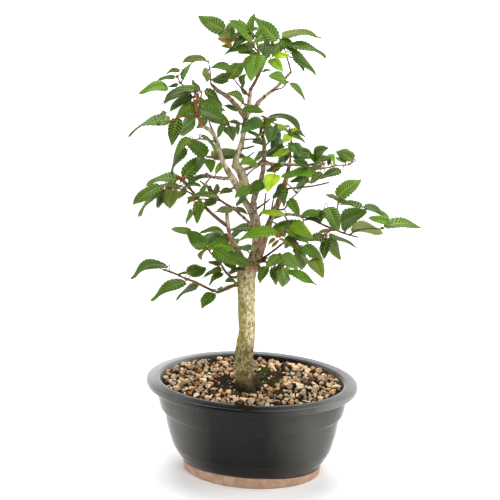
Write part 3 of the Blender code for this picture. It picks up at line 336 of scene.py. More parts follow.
# A painted reflection of the pale floor and the lamps: the glaze is greyer toward the ends, in streaks, and
# greyest on the rim's ends
uneven = clouds(tree, {"Scale": 34.0, "Stretch": (1.0, 1.0, 0.3)})["Height"]
along = worked_out(tree, "SUBTRACT", place["X"], SHEEN_LEAST_ASIDE)
squared = worked_out(tree, "MULTIPLY", along, along)
toward_ends = worked_out(tree, "MULTIPLY_ADD", uneven, SHEEN_STREAKS, squared)
sheen_streaked = mixed(tree, ranged(tree, toward_ends, *PAINTED_SHEEN), black["Colour"], colour(76, 75, 71))
rim_sheen = worked_out(tree, "MULTIPLY", ranged(tree, toward_ends, *PAINTED_RIM_SHEEN),
                      ranged(tree, place["Z"], *RIM_HEIGHTS))
sheened = mixed(tree, rim_sheen, sheen_streaked, colour(132, 132, 130))
grit = clouds(tree, {"Scale": 1500.0})["Height"]
gritty = worked_out(tree, "MULTIPLY", grit, ranged(tree, glazed, 0.0, 1.0, 1.0, 0.06))
feed(tree, {"Base Color": mixed(tree, glazed, fired["Colour"], sheened),
            "Roughness": ranged(tree, glazed, 0.0, 1.0, 0.85, 0.2), "Specular IOR Level": 0.2,
            "Normal": bumped(tree, gritty, 0.35, 1.0, bumped(tree, black["Height"], 0.5, 0.5))})

pot = new_piece("glazed_pot", oval_turned(POT_SHELL, POT_STEPS), glaze)
smoothed = pot.modifiers.new("soft_edges", "SUBSURF")
smoothed.levels = smoothed.render_levels = 1
applied(pot)
for side in (-1, 1):
    bm = bmesh.new()
    bmesh.ops.create_cone(bm, cap_ends=True, segments=DRAIN_HOLE_STEPS, radius1=DRAIN_HOLE_DIAMETER / 2,
                          radius2=DRAIN_HOLE_DIAMETER / 2, depth=POT_FLOOR + 4)
    bmesh.ops.translate(bm, vec=(side * DRAIN_HOLE_SPREAD, 0, POT_FLOOR / 2), verts=bm.verts)
    drill = new_piece("drill", bm, glaze)
    cut = pot.modifiers.new("drain_hole", "BOOLEAN")
    cut.operation = "DIFFERENCE"
    cut.solver = "EXACT"
    cut.object = drill
    applied(pot)
    bpy.data.objects.remove(drill, do_unlink=True)
pot.data.set_sharp_from_angle(angle=POT_SHARP_FROM)
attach(pot, "root")
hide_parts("pot")

# The drain meshes
# Two squares of coarse black plastic netting, moulded flat, laid over the drain holes to hold the soil in.
# They stay as the frame has them.
netting, tree = new_finish("black_netting")
worn = clouds(tree, {"First": colour(28, 28, 30), "Second": colour(52, 50, 46), "Scale": 220.0})
feed(tree, {"Base Color": worn["Colour"], "Roughness": 0.55,
            "Normal": bumped(tree, worn["Height"], 0.2, 0.6)})


def refinish(node, finish):
    """Gives a piece of the frame this finish in place of its plain one."""
    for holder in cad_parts[node].material_slots:
        holder.material = finish


for node in ("drain_mesh_left", "drain_mesh_right"):
    refinish(node, netting)

# The soil
# Dark, damp potting soil, pressed in round the roots; its colour is darker still, a painted shade for the
# gaps between the stones. Its body stays as the frame has it; a crumbled top layer lies over it, seen in the
# gaps between the stones.
GROUND_STEPS = 150
GROUND_RINGS = 56
GROUND_HALF_LENGTH = 94.2
GROUND_OVAL = 0.72
GROUND_EDGE_HEIGHT = 93.0
GROUND_MOUND = 2.0
GROUND_BOTTOM = 91.0
GROUND_EDGE_DROP = 1.8
GROUND_EDGE_FROM = 0.94
GROUND_LUMP = 1.1
GROUND_LUMP_SCALE = 0.16

earth, tree = new_finish("damp_soil_and_painted_shade")
# Near black: the soil's own dark colour, and a painted shade between the stones
crumbs = clouds(tree, {"First": colour(5, 3, 2), "Second": colour(50, 33, 15), "Scale": 420.0,
                       "Low": 0.42, "High": 0.75})
lumps = clouds(tree, {"Scale": 130.0})
feed(tree, {"Base Color": crumbs["Colour"], "Roughness": 0.92, "Specular IOR Level": 0.25,
            "Normal": bumped(tree, crumbs["Height"], 1.0, 1.0, bumped(tree, lumps["Height"], 1.6, 0.8))})
refinish("soil", earth)


def ground_height(x, y):
    """The height of the ground under the stones, in millimetres."""
    out = (x / GROUND_HALF_LENGTH) ** 2 + (y / (GROUND_HALF_LENGTH * GROUND_OVAL)) ** 2
    return GROUND_EDGE_HEIGHT + GROUND_MOUND * (1 - out)


rings = [(GROUND_HALF_LENGTH * ring / GROUND_RINGS, 0.0, GROUND_OVAL) for ring in range(GROUND_RINGS + 1)]
bm = oval_turned(rings, GROUND_STEPS)
for face in bm.faces:
    if face.normal.z < 0:
        face.normal_flip()
grown = bmesh.ops.extrude_face_region(bm, geom=bm.faces[:])["geom"]
tops = {item for item in grown if isinstance(item, bmesh.types.BMVert)}
for vert in bm.verts:
    if vert in tops:
        x, y, _ = vert.co
        lump = noise.fractal(vert.co * GROUND_LUMP_SCALE, 0.6, 2.2, 5) * GROUND_LUMP
        out = math.hypot(x, y / GROUND_OVAL) / GROUND_HALF_LENGTH
        at_edge = max(0.0, out - GROUND_EDGE_FROM) / (1 - GROUND_EDGE_FROM)
        vert.co.z = ground_height(x, y) + lump - GROUND_EDGE_DROP * at_edge
    else:
        vert.co.z = GROUND_BOTTOM
bmesh.ops.recalc_face_normals(bm, faces=bm.faces)
ground = new_piece("soil_top", bm, earth)
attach(ground, "root")
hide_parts("gravel")

# The gravel
# Loose grit of baked clay and pumice, tan, orange, cream and grey, 2 to 10 mm across, spread by hand over
# the soil. Stones are thin or missing beside the trunk, where crumbs of soil lie in their place.
STONE_SEED = 23
# The largest and the smallest stones of each round, and how many are tried
STONE_ROUNDS = ((10.4, 8.0, 80), (8.2, 6.2, 200), (6.4, 4.6, 330), (4.6, 2.4, 560))
STONE_CORNERS = 13
STONE_APART = 0.8
STONE_TRIES = 14
STONE_EDGE_ROOM = 0.6
STONE_SIDE_ROOM = 3.0
STONE_TRUNK_ROOM = 12.0
STONE_RISE = 0.2
STONE_UNEVEN = (-0.6, 1.2)
STONE_FLATNESS = (0.5, 0.9)
STONE_BREADTH = (0.6, 0.95)
STONE_LEAN = 0.3
STONE_CORNER_REACH = (0.8, 1.12)
STONE_LIGHT = (0.78, 1.16)
STONE_SHARP_FROM = math.radians(30)
# How common each colour is, and the colour
STONE_COLOURS = (
    (30, (212, 176, 140)), (22, (226, 196, 162)), (10, (206, 156, 110)), (13, (188, 168, 144)),
    (10, (164, 148, 128)), (6, (124, 106, 86)), (3, (190, 124, 68)), (7, (236, 218, 192)),
    (6, (74, 54, 36)),
)
# Bare places, as across and down in the view, half their length, half their depth, and how bare
BARE_PLACES = (
    (270, 377, 22, 15, 0.98), (224, 384, 15, 12, 0.97), (288, 391, 13, 8, 0.9), (257, 394, 14, 6, 0.8),
    (326, 371, 15, 9, 0.8), (207, 368, 9, 5, 0.7), (175, 371, 9, 5, 0.75), (314, 390, 18, 6, 0.7),
    (298, 362, 10, 4, 0.6), (190, 388, 10, 4, 0.6), (342, 388, 9, 10, 0.8), (208, 398, 14, 4, 0.6),
    (160, 380, 5, 8, 0.7), (330, 398, 16, 5, 0.7),
)
BARE_IN_MIDDLE = 1.7
BARE_FALL = 1.2
CELL = 10.0
TRUNK_PLACE_VIEW = (246.0, 391.0, -19.0)


def on_level(across, down, height):
    """The point at this height that lies behind this place of the view."""
    ray = aim + right * (across - VIEW_HALF) + up * (VIEW_HALF - down) - eye
    return eye + ray * ((height - eye.z) / ray.z)


def in_view(place):
    """Where a point shows in the view: across and down."""
    ray = place - eye
    flat = ray * (VIEW_DISTANCE / ray.dot(sight))
    return VIEW_HALF + (eye + flat - aim).dot(right), VIEW_HALF - (eye + flat - aim).dot(up)


def bareness(place):
    across, down = in_view(place)
    most = 0.0
    for middle, low, half, deep, bare in BARE_PLACES:
        out = math.hypot((across - middle) / half, (down - low) / deep)
        most = max(most, bare * min(1.0, max(0.0, BARE_IN_MIDDLE - BARE_FALL * out)))
    return most


def any_way(draw, spread):
    """A vector that points any way, about this long."""
    return Vector(draw.gauss(0, spread) for _ in range(3))


def add_stone(bm, place, size, shade, draw):
    """A stone as the hull of corners strewn over a turned egg."""
    layer = bm.verts.layers.float_color["tint"]
    flatness = draw.uniform(*STONE_FLATNESS)
    breadth = draw.uniform(*STONE_BREADTH)
    turn = Matrix.Rotation(draw.uniform(0, math.tau), 3, "Z")
    turn = turn @ Matrix.Rotation(draw.gauss(0, STONE_LEAN), 3, "X")
    corners = []
    for _ in range(STONE_CORNERS):
        way = any_way(draw, 1).normalized()
        way *= draw.uniform(*STONE_CORNER_REACH) * size / 2
        corner = bm.verts.new(place + turn @ Vector((way.x, way.y * breadth, way.z * flatness)))
        corner[layer] = shade
        corners.append(corner)
    hull = bmesh.ops.convex_hull(bm, input=corners)
    inner = [item for item in hull["geom_interior"] if isinstance(item, bmesh.types.BMVert)]
    bmesh.ops.delete(bm, geom=inner, context="VERTS")


def painted(tree, name, output="Color"):
    """What the mesh holds at each corner under this name."""
    return add_node(tree, "Attribute", attribute_name=name).outputs[output]


stone_finish, tree = new_finish("baked_clay_stones")
specks = clouds(tree, {"First": (0.46, 0.41, 0.33, 1), "Second": (1.34, 1.32, 1.24, 1), "Scale": 620.0,
                       "Low": 0.36, "High": 0.6})
dusty = mixed(tree, 1.0, painted(tree, "tint"), specks["Colour"], blend_type="MULTIPLY")
pores = clouds(tree, {"Scale": 1100.0})
feed(tree, {"Base Color": dusty, "Roughness": 0.88, "Specular IOR Level": 0.25,
            "Normal": bumped(tree, pores["Height"], 0.7, 0.9, bumped(tree, specks["Height"], 0.9, 0.7))})


def shade_of(draw):
    """One of the stones' colours, each as common as its share, a little lighter or darker."""
    pick = draw.uniform(0, sum(share for share, _ in STONE_COLOURS))
    for share, shade in STONE_COLOURS:
        pick -= share
        if pick <= 0:
            break
    light = draw.uniform(*STONE_LIGHT)
    return colour(*(min(SCREEN_MOST, value * light) for value in shade))


def seen(across, down, depth):
    """The point that lies behind this place of the view, this many millimetres behind the upright plane
    through the pot's middle."""
    ray = aim + right * (across - VIEW_HALF) + up * (VIEW_HALF - down) - eye
    return eye + ray * ((depth - away.dot(eye)) / away.dot(ray))


trunk_foot = seen(*TRUNK_PLACE_VIEW)
draw = random.Random(STONE_SEED)
stones = bmesh.new()
stones.verts.layers.float_color.new("tint")
cells = {}
for largest, smallest, count in STONE_ROUNDS:
    for _ in range(count):
        size = draw.uniform(smallest, largest)
        for _ in range(STONE_TRIES):
            reach = GROUND_HALF_LENGTH - size / 2 - STONE_EDGE_ROOM
            out = math.sqrt(draw.random())
            turn = draw.uniform(0, math.tau)
            x = reach * out * math.cos(turn)
            y = (reach - STONE_SIDE_ROOM) * GROUND_OVAL * out * math.sin(turn)
            place = Vector((x, y, ground_height(x, y)))
            from_trunk = (place.xy - trunk_foot.xy).length
            if from_trunk < STONE_TRUNK_ROOM + size / 2 or draw.random() < bareness(place):
                continue
            cell = (round(x / CELL), round(y / CELL))
            near = [other for i in (-1, 0, 1) for j in (-1, 0, 1)
                    for other in cells.get((cell[0] + i, cell[1] + j), ())]
            if all((place.xy - other[0].xy).length > (size + other[1]) / 2 * STONE_APART for other in near):
                place.z += size * STONE_RISE + draw.uniform(*STONE_UNEVEN)
                cells.setdefault(cell, []).append((place, size))
                add_stone(stones, place, size, shade_of(draw), draw)
                break
bmesh.ops.recalc_face_normals(stones, faces=stones.faces)
gravel = new_piece("gravel_stones", stones, stone_finish)
gravel.data.set_sharp_from_angle(angle=STONE_SHARP_FROM)
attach(gravel, "root")
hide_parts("gravel")

CRUMB_TRIES = 2600
CRUMB_COLOURS = ((70, 54, 38), (44, 33, 24), (30, 22, 16), (104, 84, 60), (64, 62, 32))
CRUMB_SIZES = (1.2, 3.4)
CRUMB_RISE = (-0.4, 0.8)
# Crumbs lie as far out as the last and smallest stones
crumb_reach = reach
crumbs = bmesh.new()
crumbs.verts.layers.float_color.new("tint")
for _ in range(CRUMB_TRIES):
    out = math.sqrt(draw.random())
    turn = draw.uniform(0, math.tau)
    x = crumb_reach * out * math.cos(turn)
    y = crumb_reach * GROUND_OVAL * out * math.sin(turn)
    place = Vector((x, y, ground_height(x, y) + draw.uniform(*CRUMB_RISE)))
    if draw.random() < bareness(place):
        add_stone(crumbs, place, draw.uniform(*CRUMB_SIZES), colour(*draw.choice(CRUMB_COLOURS)), draw)
bmesh.ops.recalc_face_normals(crumbs, faces=crumbs.faces)
crumbs = new_piece("soil_crumbs", crumbs, stone_finish)
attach(crumbs, "root")
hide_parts("gravel")

# The moss
# Short cushion moss that has grown on the damp soil beside the trunk's foot: hundreds of stems one to three
# millimetres high, olive to yellow-green.
MOSS_SEED = 5
# Across and down in the view, half length, half depth, and how many stems
MOSS_PATCHES = ((263, 369, 8, 7, 340), (279, 384, 8, 5, 220), (229, 391, 5, 3, 90), (262, 384, 5, 6, 150),
                (250, 396, 8, 2, 60), (234, 398, 5, 2, 40), (196, 393, 4, 2, 30), (226, 372, 4, 4, 40))
# The level on which the patches lie behind their places in the view
MOSS_LEVEL = 95.0
MOSS_STEM_DIAMETER = 0.9
MOSS_TIP_DIAMETER = 0.24
MOSS_HEIGHTS = (1.2, 2.6)
MOSS_LEAN = 0.5
MOSS_RISE = (0.0, 1.4)

moss_finish, tree = new_finish("cushion_moss")
fresh = clouds(tree, {"First": colour(38, 46, 18), "Second": colour(112, 118, 42), "Scale": 300.0,
                      "Low": 0.35, "High": 0.7})
feed(tree, {"Base Color": fresh["Colour"], "Roughness": 0.9, "Specular IOR Level": 0.2,
            "Normal": bumped(tree, fresh["Height"], 0.5, 0.6)})
draw = random.Random(MOSS_SEED)
moss = bmesh.new()
for across, down, half, deep, count in MOSS_PATCHES:
    for _ in range(count):
        out = math.sqrt(draw.random())
        turn = draw.uniform(0, math.tau)
        aside = half * out * math.cos(turn)
        lower = deep * out * math.sin(turn)
        place = on_level(across + aside, down + lower, MOSS_LEVEL)
        height = draw.uniform(*MOSS_HEIGHTS)
        stem = bmesh.ops.create_cone(moss, cap_ends=True, segments=4, radius1=MOSS_STEM_DIAMETER / 2,
                                     radius2=MOSS_TIP_DIAMETER / 2, depth=height)["verts"]
        lean = Matrix.Rotation(draw.gauss(0, MOSS_LEAN), 3, "X")
        lean = lean @ Matrix.Rotation(draw.gauss(0, MOSS_LEAN), 3, "Y")
        bmesh.ops.rotate(moss, matrix=lean, cent=(0, 0, 0), verts=stem)
        place.z = ground_height(place.x, place.y) + draw.uniform(*MOSS_RISE)
        bmesh.ops.translate(moss, vec=place, verts=stem)
moss = new_piece("moss_cushions", moss, moss_finish)
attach(moss, "root")
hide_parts("gravel")

# The trunk and its stems
# Smooth hornbeam wood under thin bark: a straight trunk on a flare of roots, which parts at one height into
# stems. The bark is cream where it is clean, olive with algae on the weather side and near the soil.
# Points as across and down in the view, depth and diameter
TRUNK = (
    (246.0, 391, -19, 22.0), (244.6, 375, -19, 19.6), (244.0, 357, -18.5, 19.0), (245.2, 343, -18, 17.8),
    (247.0, 331, -17.5, 16.8), (246.5, 308, -16, 17.3), (246.4, 287, -14, 18.4), (246.5, 273, -13, 19.6),
    (247.5, 262, -12, 14.0),
)
# The same for the branches. A stem grows together with the trunk; the others differ in their bark, which
# is grey with age, brown, or brown and papery
BRANCHES = (
    # The left stem, cut back at its top
    ("stem", ((244, 269, -14, 11.0), (241, 258, -15, 7.6), (236.5, 248, -15, 6.2), (232, 240, -14, 5.2),
         (229, 231, -13, 4.6), (227.5, 221, -11, 4.4), (226.8, 212, -10, 4.0))),
    # The red twig from the left stem
    ("brown", ((228.5, 227, -12, 4.2), (220, 220.5, -12, 3.6), (211, 213, -11, 3.2), (204, 205.5, -8, 2.9),
         (196.5, 197, -4, 2.9), (190, 188.5, -2, 2.7), (184.5, 181.5, 0, 2.4))),
    # The leader, up to where it parts
    ("stem", ((251, 268, -9, 12.0), (254.5, 252, -4, 9.2), (256.5, 241, 0, 9.0), (256.5, 231, 2, 9.5),
         (255.5, 221, 3, 10.0), (252, 212.5, 3, 9.0), (247.5, 205, 2, 7.0), (243, 198, 0, 6.6),
         (239, 191, -2, 6.6))),
    # The pale stem to the left
    ("stem", ((241.5, 195, -1, 6.8), (235.5, 184, -5, 7.4), (232.2, 178, -8, 7.2), (227.8, 171, -10, 6.2),
         (223.5, 163, -12, 5.4), (220, 154, -12, 5.0), (217, 143, -11, 5.0), (212.5, 132.5, -9, 5.2),
         (207.5, 128.5, -7, 4.8), (201, 126, -5, 3.8))),
    # The main stem to the top
    ("stem", ((242, 197, 0, 7.0), (244.5, 189, 3, 9.0), (243.5, 180, 5, 10.0), (240.5, 172, 6, 9.5),
         (236.5, 164, 6, 8.0), (236.5, 156, 6, 6.6), (240, 149, 5, 6.0), (242.5, 140, 4, 5.6),
         (243.5, 131, 3, 5.4), (245.5, 120, 2, 5.8), (248.5, 111, 1, 5.4), (249.5, 100, 0, 4.5),
         (250.5, 88, 0, 3.8))),
    # The brown shoot at the top
    ("brown", ((250.3, 90, 0, 3.6), (255, 82, -2, 3.2), (258, 76, -3, 3.0), (262, 68, -4, 2.8),
         (265, 61, -5, 2.4))),
    # The branch to the upper right
    ("grey", ((246.5, 115, 1, 4.6), (255, 106.5, 3, 4.2), (259, 101.5, 6, 4.0), (267, 94.5, 11, 3.6),
         (275, 88.5, 15, 3.3), (283, 80.5, 19, 3.0), (291, 72, 23.5, 2.6))),
    # The branch to the upper left
    ("brown", ((245.5, 119, 2, 5.4), (239, 109, -2, 5.0), (229, 98, -8, 4.6), (218, 90.5, -14, 4.0),
         (211, 84, -18, 2.8))),
    # The twig above the pale stem's end
    ("papery", ((205, 127.2, -6, 3.8), (200, 120, -3, 4.0), (197.5, 112, 0, 3.2), (196, 104, 3, 2.8),
         (198, 96, 6, 2.4))),
    # The upright stem right of the middle
    ("brown", ((253.5, 212, 1, 7.4), (253.5, 203, -2, 6.4), (254.5, 197, -3, 5.6), (257, 191, -2, 5.2),
         (260, 184, 2, 5.0), (262, 175, 6, 4.8), (263.5, 165, 9, 4.4), (264, 152, 10, 4.2),
         (264, 141, 10, 3.8), (260.8, 131, 8.5, 3.2), (266, 119, 6, 2.8))),
    # The level branch that crosses it to the right
    ("grey", ((243, 170, 6, 3.8), (252, 166.5, 7, 3.6), (263, 163.5, 9, 4.0), (281, 164.5, 5, 3.4),
         (305, 165, -3, 2.8), (313, 164.2, -6, 2.4))),
    # The thick right stem
    ("stem", ((251, 269, -12, 12.0), (257, 258, -14, 10.0), (260.5, 249, -16, 9.5), (263.3, 240, -16, 8.6),
         (266.5, 231, -13, 7.6), (269.3, 223, -9, 6.6), (273, 214, -4, 6.4), (277.5, 205, 0, 6.2),
         (281.3, 195, 4, 6.0), (284.2, 186, 8, 5.6), (286.8, 176, 11, 5.0), (290.3, 160, 16, 3.4))),
    # The bare twig from the right stem
    ("grey", ((284.5, 189, 7, 2.4), (295, 188, 3, 2.0), (313, 186, -5, 1.7), (329, 182.5, -11, 1.5))),
    # The long low branch to the right
    ("grey", ((271, 219, -7, 3.4), (285, 214.5, 0, 3.0), (298, 215.5, 6, 2.8), (311, 219, 12, 2.4),
         (326, 226, 18, 2.1), (342, 232.5, 22, 1.9), (358, 237.3, 25, 1.6))),
    # The thin twig low on the right
    ("grey", ((262, 259, -13, 2.6), (273, 251, -18, 2.2), (285, 241.5, -27, 2.1))),
    # The lowest branch, to the left
    ("brown", ((243, 282.5, -13, 4.8), (236, 284.7, -17, 4.2), (228, 288, -22, 3.8),
         (218, 292.3, -28, 3.2))),
    # The orange twig low on the left
    ("grey", ((245, 275, -17, 4.0), (237, 277.3, -24, 3.2), (231.5, 277, -28, 2.8))),
    # The short branch left of the pale stem
    ("grey", ((232, 179, -8, 4.0), (220, 178, -6, 3.8), (211, 176.5, -2, 3.2), (206, 173.5, 1, 2.6))),
    # The thin dark twig from the leader to the left
    ("grey", ((256, 229, 2, 3.6), (243, 217, -3, 3.0), (234, 209, -7, 2.8), (220, 200, -10, 2.3),
         (213, 191.5, -9, 2.0), (200, 181, -4, 1.7))),
    # Short bare twigs in the middle
    ("grey", ((240.5, 149, 5, 2.6), (247, 148, 9, 2.0), (254, 146, 13, 1.6))),
    ("grey", ((244, 139.5, 5, 2.0), (253, 139, 4, 1.5), (261, 140, 6, 1.3))),
    ("grey", ((245, 178, 3, 2.0), (251, 171, 6, 1.5), (259, 166, 8, 1.3))),
    ("grey", ((240, 155, 3, 1.8), (247, 157, 1, 1.5), (254, 152, -1, 1.2))),
    ("grey", ((254, 210.5, 1, 2.4), (265, 203, -6, 1.8), (270, 199, -9, 1.5))),
    ("grey", ((257, 218, 4, 2.4), (263.5, 211, 7, 1.8), (265, 200, 9, 1.6), (266, 193, 10, 1.4))),
    ("grey", ((270, 220, -8, 2.4), (271.5, 210, -11, 1.8), (274, 196, -13, 1.4))),
)
# The height and the diameter of the trunk's foot, below the gravel
TRUNK_FOOT = (80.0, 24.0)
# Roots run out from the foot under the gravel: where each starts and ends in the view, with its diameters
ROOTS = ((253, 381, 15.0, 262, 392, 11.0), (249, 386, 12.0, 253, 396, 9.0), (252, 378, 6.0, 270, 378, 3.0))
ROOT_HEIGHTS = (100.0, 92.5)
ROOT_START_INWARD = 0.45
ROOT_MIDDLE = 0.55
ROOT_ARCH = 1.2
ROOT_FLARE = 1.3
# Swellings at old cuts and forks: across, down, depth and radius
SWELLINGS = ((234.5, 166, 3, 3.6), (258, 104, 4.5, 2.4), (250, 265, -17, 6.0), (243, 268, -18, 4.6),
             (257, 268, -18, 4.4), (247, 279, -22, 2.6), (245.6, 337, -26, 3.4),
             (254, 300, -20, 2.2), (240, 315, -20, 2.4))
STEM_SIDES = 24
ROOT_SIDES = 16
RING_STEP = 1.2
# How far a limb's tip is drawn out for its diameter, and how narrow it ends
TIP_ROUNDING = (0.22, 0.6)
BARK_VOXEL = 0.62
BARK_LUMP = 0.55
BARK_LUMP_SCALE = 0.16
BARK_LUMP_AT_SOIL = 0.4
BARK_FISSURE = 0.34
BARK_FISSURE_SCALE = (0.9, 0.9, 0.28)
# Heights over which the bark changes: out of the soil, soiled, damp, and scaly on the stems. Each line
# wanders up and down by a few millimetres
OUT_OF_SOIL = (96.0, 110.0)
SOILED_UP_TO = (98.0, 114.0)
DAMP_UP_TO = (138.0, 154.0)
STEMS_FROM = (208.0, 226.0)
WANDER_SCALE = 0.09
SOILED_WANDER = 5
DAMP_WANDER = 6
STEMS_WANDER = 8
SOILED_MOST = 0.96
# Soil clings higher on the right, where the roots run out
SOIL_RISE_FROM = (4.0, 9.0)
SOIL_RISE = 6.0
# Algae grows on the side that faces left in the view
WEATHER_SIDE = (-0.35, 0.75)
WEATHER_WANDER = 0.5
# Where the stems' bark is red-brown and flakes: across and down in the view, half width and half height
FLAKING_PLACES = ((283, 194, 10, 28), (269, 234, 7, 22), (256, 197, 6, 9), (250, 265, 17, 8),
                  (229, 240, 9, 18), (290, 165, 8, 12), (262, 250, 4, 14))
FLAKING_EDGE = (0.6, 1.2)
FLAKING_WANDER = 0.6
FLAKING_MOST = 0.85


def smooth_line(line):
    """Places and diameters along a smooth curve through a line's own, each a ring's step from the next."""
    found = []
    last = len(line) - 1
    for i, ((start, wide), (end, narrow)) in enumerate(zip(line, line[1:])):
        before = line[max(0, i - 1)][0]
        after = line[min(last, i + 2)][0]
        count = max(1, round((end - start).length / RING_STEP))
        for k in range(count):
            t = k / count
            place = 0.5 * ((2 * start) + (end - before) * t
                           + (2 * before - 5 * start + 4 * end - after) * t ** 2
                           + (3 * start - before - 3 * end + after) * t ** 3)
            eased = t * t * (3 - 2 * t)
            found.append((place, wide + (narrow - wide) * eased))
    found.append(line[-1])
    return found


def limb(line, sides):
    """A round limb with closed ends: a circle that is drawn out ring by ring along a smooth curve."""
    rings = smooth_line(line)
    bm = bmesh.new()
    ring = bmesh.ops.create_circle(bm, cap_ends=True, segments=sides, radius=1.0)["verts"]
    edges = list({edge for vert in ring for edge in vert.link_edges})
    facing = Matrix.Identity(3)
    held = Matrix.Identity(4)
    for i, (place, diameter) in enumerate(rings):
        ahead = rings[min(i + 1, len(rings) - 1)][0] - rings[max(i - 1, 0)][0]
        facing = (facing @ Vector((0, 0, 1))).rotation_difference(ahead.normalized()).to_matrix() @ facing
        wanted = Matrix.Translation(place) @ facing.to_4x4() @ Matrix.Scale(diameter / 2, 4)
        if i:
            drawn = bmesh.ops.extrude_edge_only(bm, edges=edges)["geom"]
            ring = [item for item in drawn if isinstance(item, bmesh.types.BMVert)]
            edges = [item for item in drawn if isinstance(item, bmesh.types.BMEdge)
                     and all(vert in ring for vert in item.verts)]
        bmesh.ops.transform(bm, matrix=wanted @ held.inverted(), verts=ring)
        held = wanted
    drawn = bmesh.ops.extrude_edge_only(bm, edges=edges)["geom"]
    ring = [item for item in drawn if isinstance(item, bmesh.types.BMVert)]
    tip, diameter = rings[-1]
    ahead, narrower = TIP_ROUNDING
    round_end = Matrix.Translation(tip + facing @ Vector((0, 0, diameter * ahead)))
    round_end = round_end @ Matrix.Scale(narrower, 4) @ Matrix.Translation(-tip)
    bmesh.ops.transform(bm, matrix=round_end, verts=ring)
    bmesh.ops.contextual_create(bm, geom=ring)
    bmesh.ops.recalc_face_normals(bm, faces=bm.faces)
    return bm


def gathered(whole, part):
    """Adds one bmesh to another, and gives the corners that it added."""
    mesh = bpy.data.meshes.new("part")
    part.to_mesh(mesh)
    part.free()
    count = len(whole.verts)
    whole.from_mesh(mesh)
    bpy.data.meshes.remove(mesh)
    return whole.verts[count:]


bark, tree = new_finish("hornbeam_bark")
ages = add_node(tree, "SeparateColor", {0: painted(tree, "age")}).outputs
clean = clouds(tree, {"First": colour(214, 204, 170), "Second": colour(150, 134, 94), "Scale": 330.0,
                      "Stretch": (1.0, 1.0, 0.45), "Low": 0.4, "High": 0.72})
algae = clouds(tree, {"First": colour(126, 122, 62), "Second": colour(164, 156, 112), "Scale": 420.0,
                      "Low": 0.35, "High": 0.7})
damp = clouds(tree, {"First": colour(88, 82, 50), "Second": colour(160, 148, 112), "Scale": 260.0,
                     "Low": 0.36, "High": 0.66})
dark_marks = clouds(tree, {"Scale": 620.0, "Stretch": (1.0, 1.0, 0.5), "Low": 0.56, "High": 0.66})
weathered = mixed(tree, ages["Red"], clean["Colour"], algae["Colour"])
dampened = mixed(tree, ages["Green"], weathered, damp["Colour"])
soiled = mixed(tree, ages["Blue"], dampened, colour(36, 28, 18))
speckles = clouds(tree, {"First": (0.52, 0.48, 0.32, 1), "Second": (1.16, 1.14, 1.08, 1), "Scale": 470.0,
                         "Stretch": (1.0, 1.0, 0.55), "Low": 0.4, "High": 0.54})
speckled = mixed(tree, 1.0, soiled, speckles["Colour"], blend_type="MULTIPLY")
marked = mixed(tree, dark_marks["Share"], speckled, colour(84, 72, 42))
scaly = clouds(tree, {"First": colour(92, 68, 48), "Second": colour(212, 196, 170), "Scale": 250.0,
                      "Stretch": (1.0, 1.0, 0.45), "Low": 0.38, "High": 0.6})
on_stems = mixed(tree, 0.7, marked, scaly["Colour"])
stem_tone = mixed(tree, painted(tree, "stem", "Fac"), marked, on_stems)
flakes = clouds(tree, {"First": colour(176, 134, 104), "Second": colour(88, 56, 40), "Scale": 280.0,
                       "Stretch": (1.0, 1.0, 0.4), "Low": 0.4, "High": 0.6})
wood_tone = mixed(tree, painted(tree, "flaking", "Fac"), stem_tone, flakes["Colour"])
ridges = clouds(tree, {"Scale": 700.0, "Stretch": (1.0, 1.0, 0.35)})
feed(tree, {"Base Color": wood_tone, "Roughness": 0.85, "Specular IOR Level": 0.2,
            "Normal": bumped(tree, ridges["Height"], 0.6, 1.0, bumped(tree, speckles["Height"], 0.7, 0.8))})

foot_height, foot_diameter = TRUNK_FOOT
foot = Vector((trunk_foot.x, trunk_foot.y, foot_height))


def placed(points):
    """A line of places and diameters from its points in the view."""
    return [(seen(across, down, depth), diameter) for across, down, depth, diameter in points]


branch_lines = [placed(points) for _, points in BRANCHES]
stems = bmesh.new()
gathered(stems, limb([(foot, foot_diameter)] + placed(TRUNK), STEM_SIDES))
for (kind, _), line in zip(BRANCHES, branch_lines):
    if kind == "stem":
        gathered(stems, limb(line, STEM_SIDES))
start_height, end_height = ROOT_HEIGHTS
for across, down, wide, end_across, end_down, narrow in ROOTS:
    start = on_level(across, down, start_height)
    start = start.lerp(Vector((foot.x, foot.y, start_height)), ROOT_START_INWARD)
    end = on_level(end_across, end_down, end_height)
    middle = start.lerp(end, ROOT_MIDDLE) + above * ROOT_ARCH
    line = [(start, wide * ROOT_FLARE), (middle, (wide + narrow) / 2), (end, narrow)]
    gathered(stems, limb(line, ROOT_SIDES))
for across, down, depth, radius in SWELLINGS:
    knot = bmesh.new()
    bmesh.ops.create_icosphere(knot, subdivisions=3, radius=radius)
    bmesh.ops.translate(knot, vec=seen(across, down, depth), verts=knot.verts)
    gathered(stems, knot)
stems = new_piece("trunk_and_stems", stems, bark)
grown = stems.modifiers.new("grown_together", "REMESH")
grown.mode = "VOXEL"
grown.voxel_size = BARK_VOXEL * MM
grown.use_smooth_shade = True
eased = stems.modifiers.new("eased_forks", "SMOOTH")
eased.factor = 0.5
eased.iterations = 4
applied(stems)


def step_up(value, low, high):
    share = max(0.0, min(1.0, (value - low) / (high - low)))
    return share * share * (3 - 2 * share)


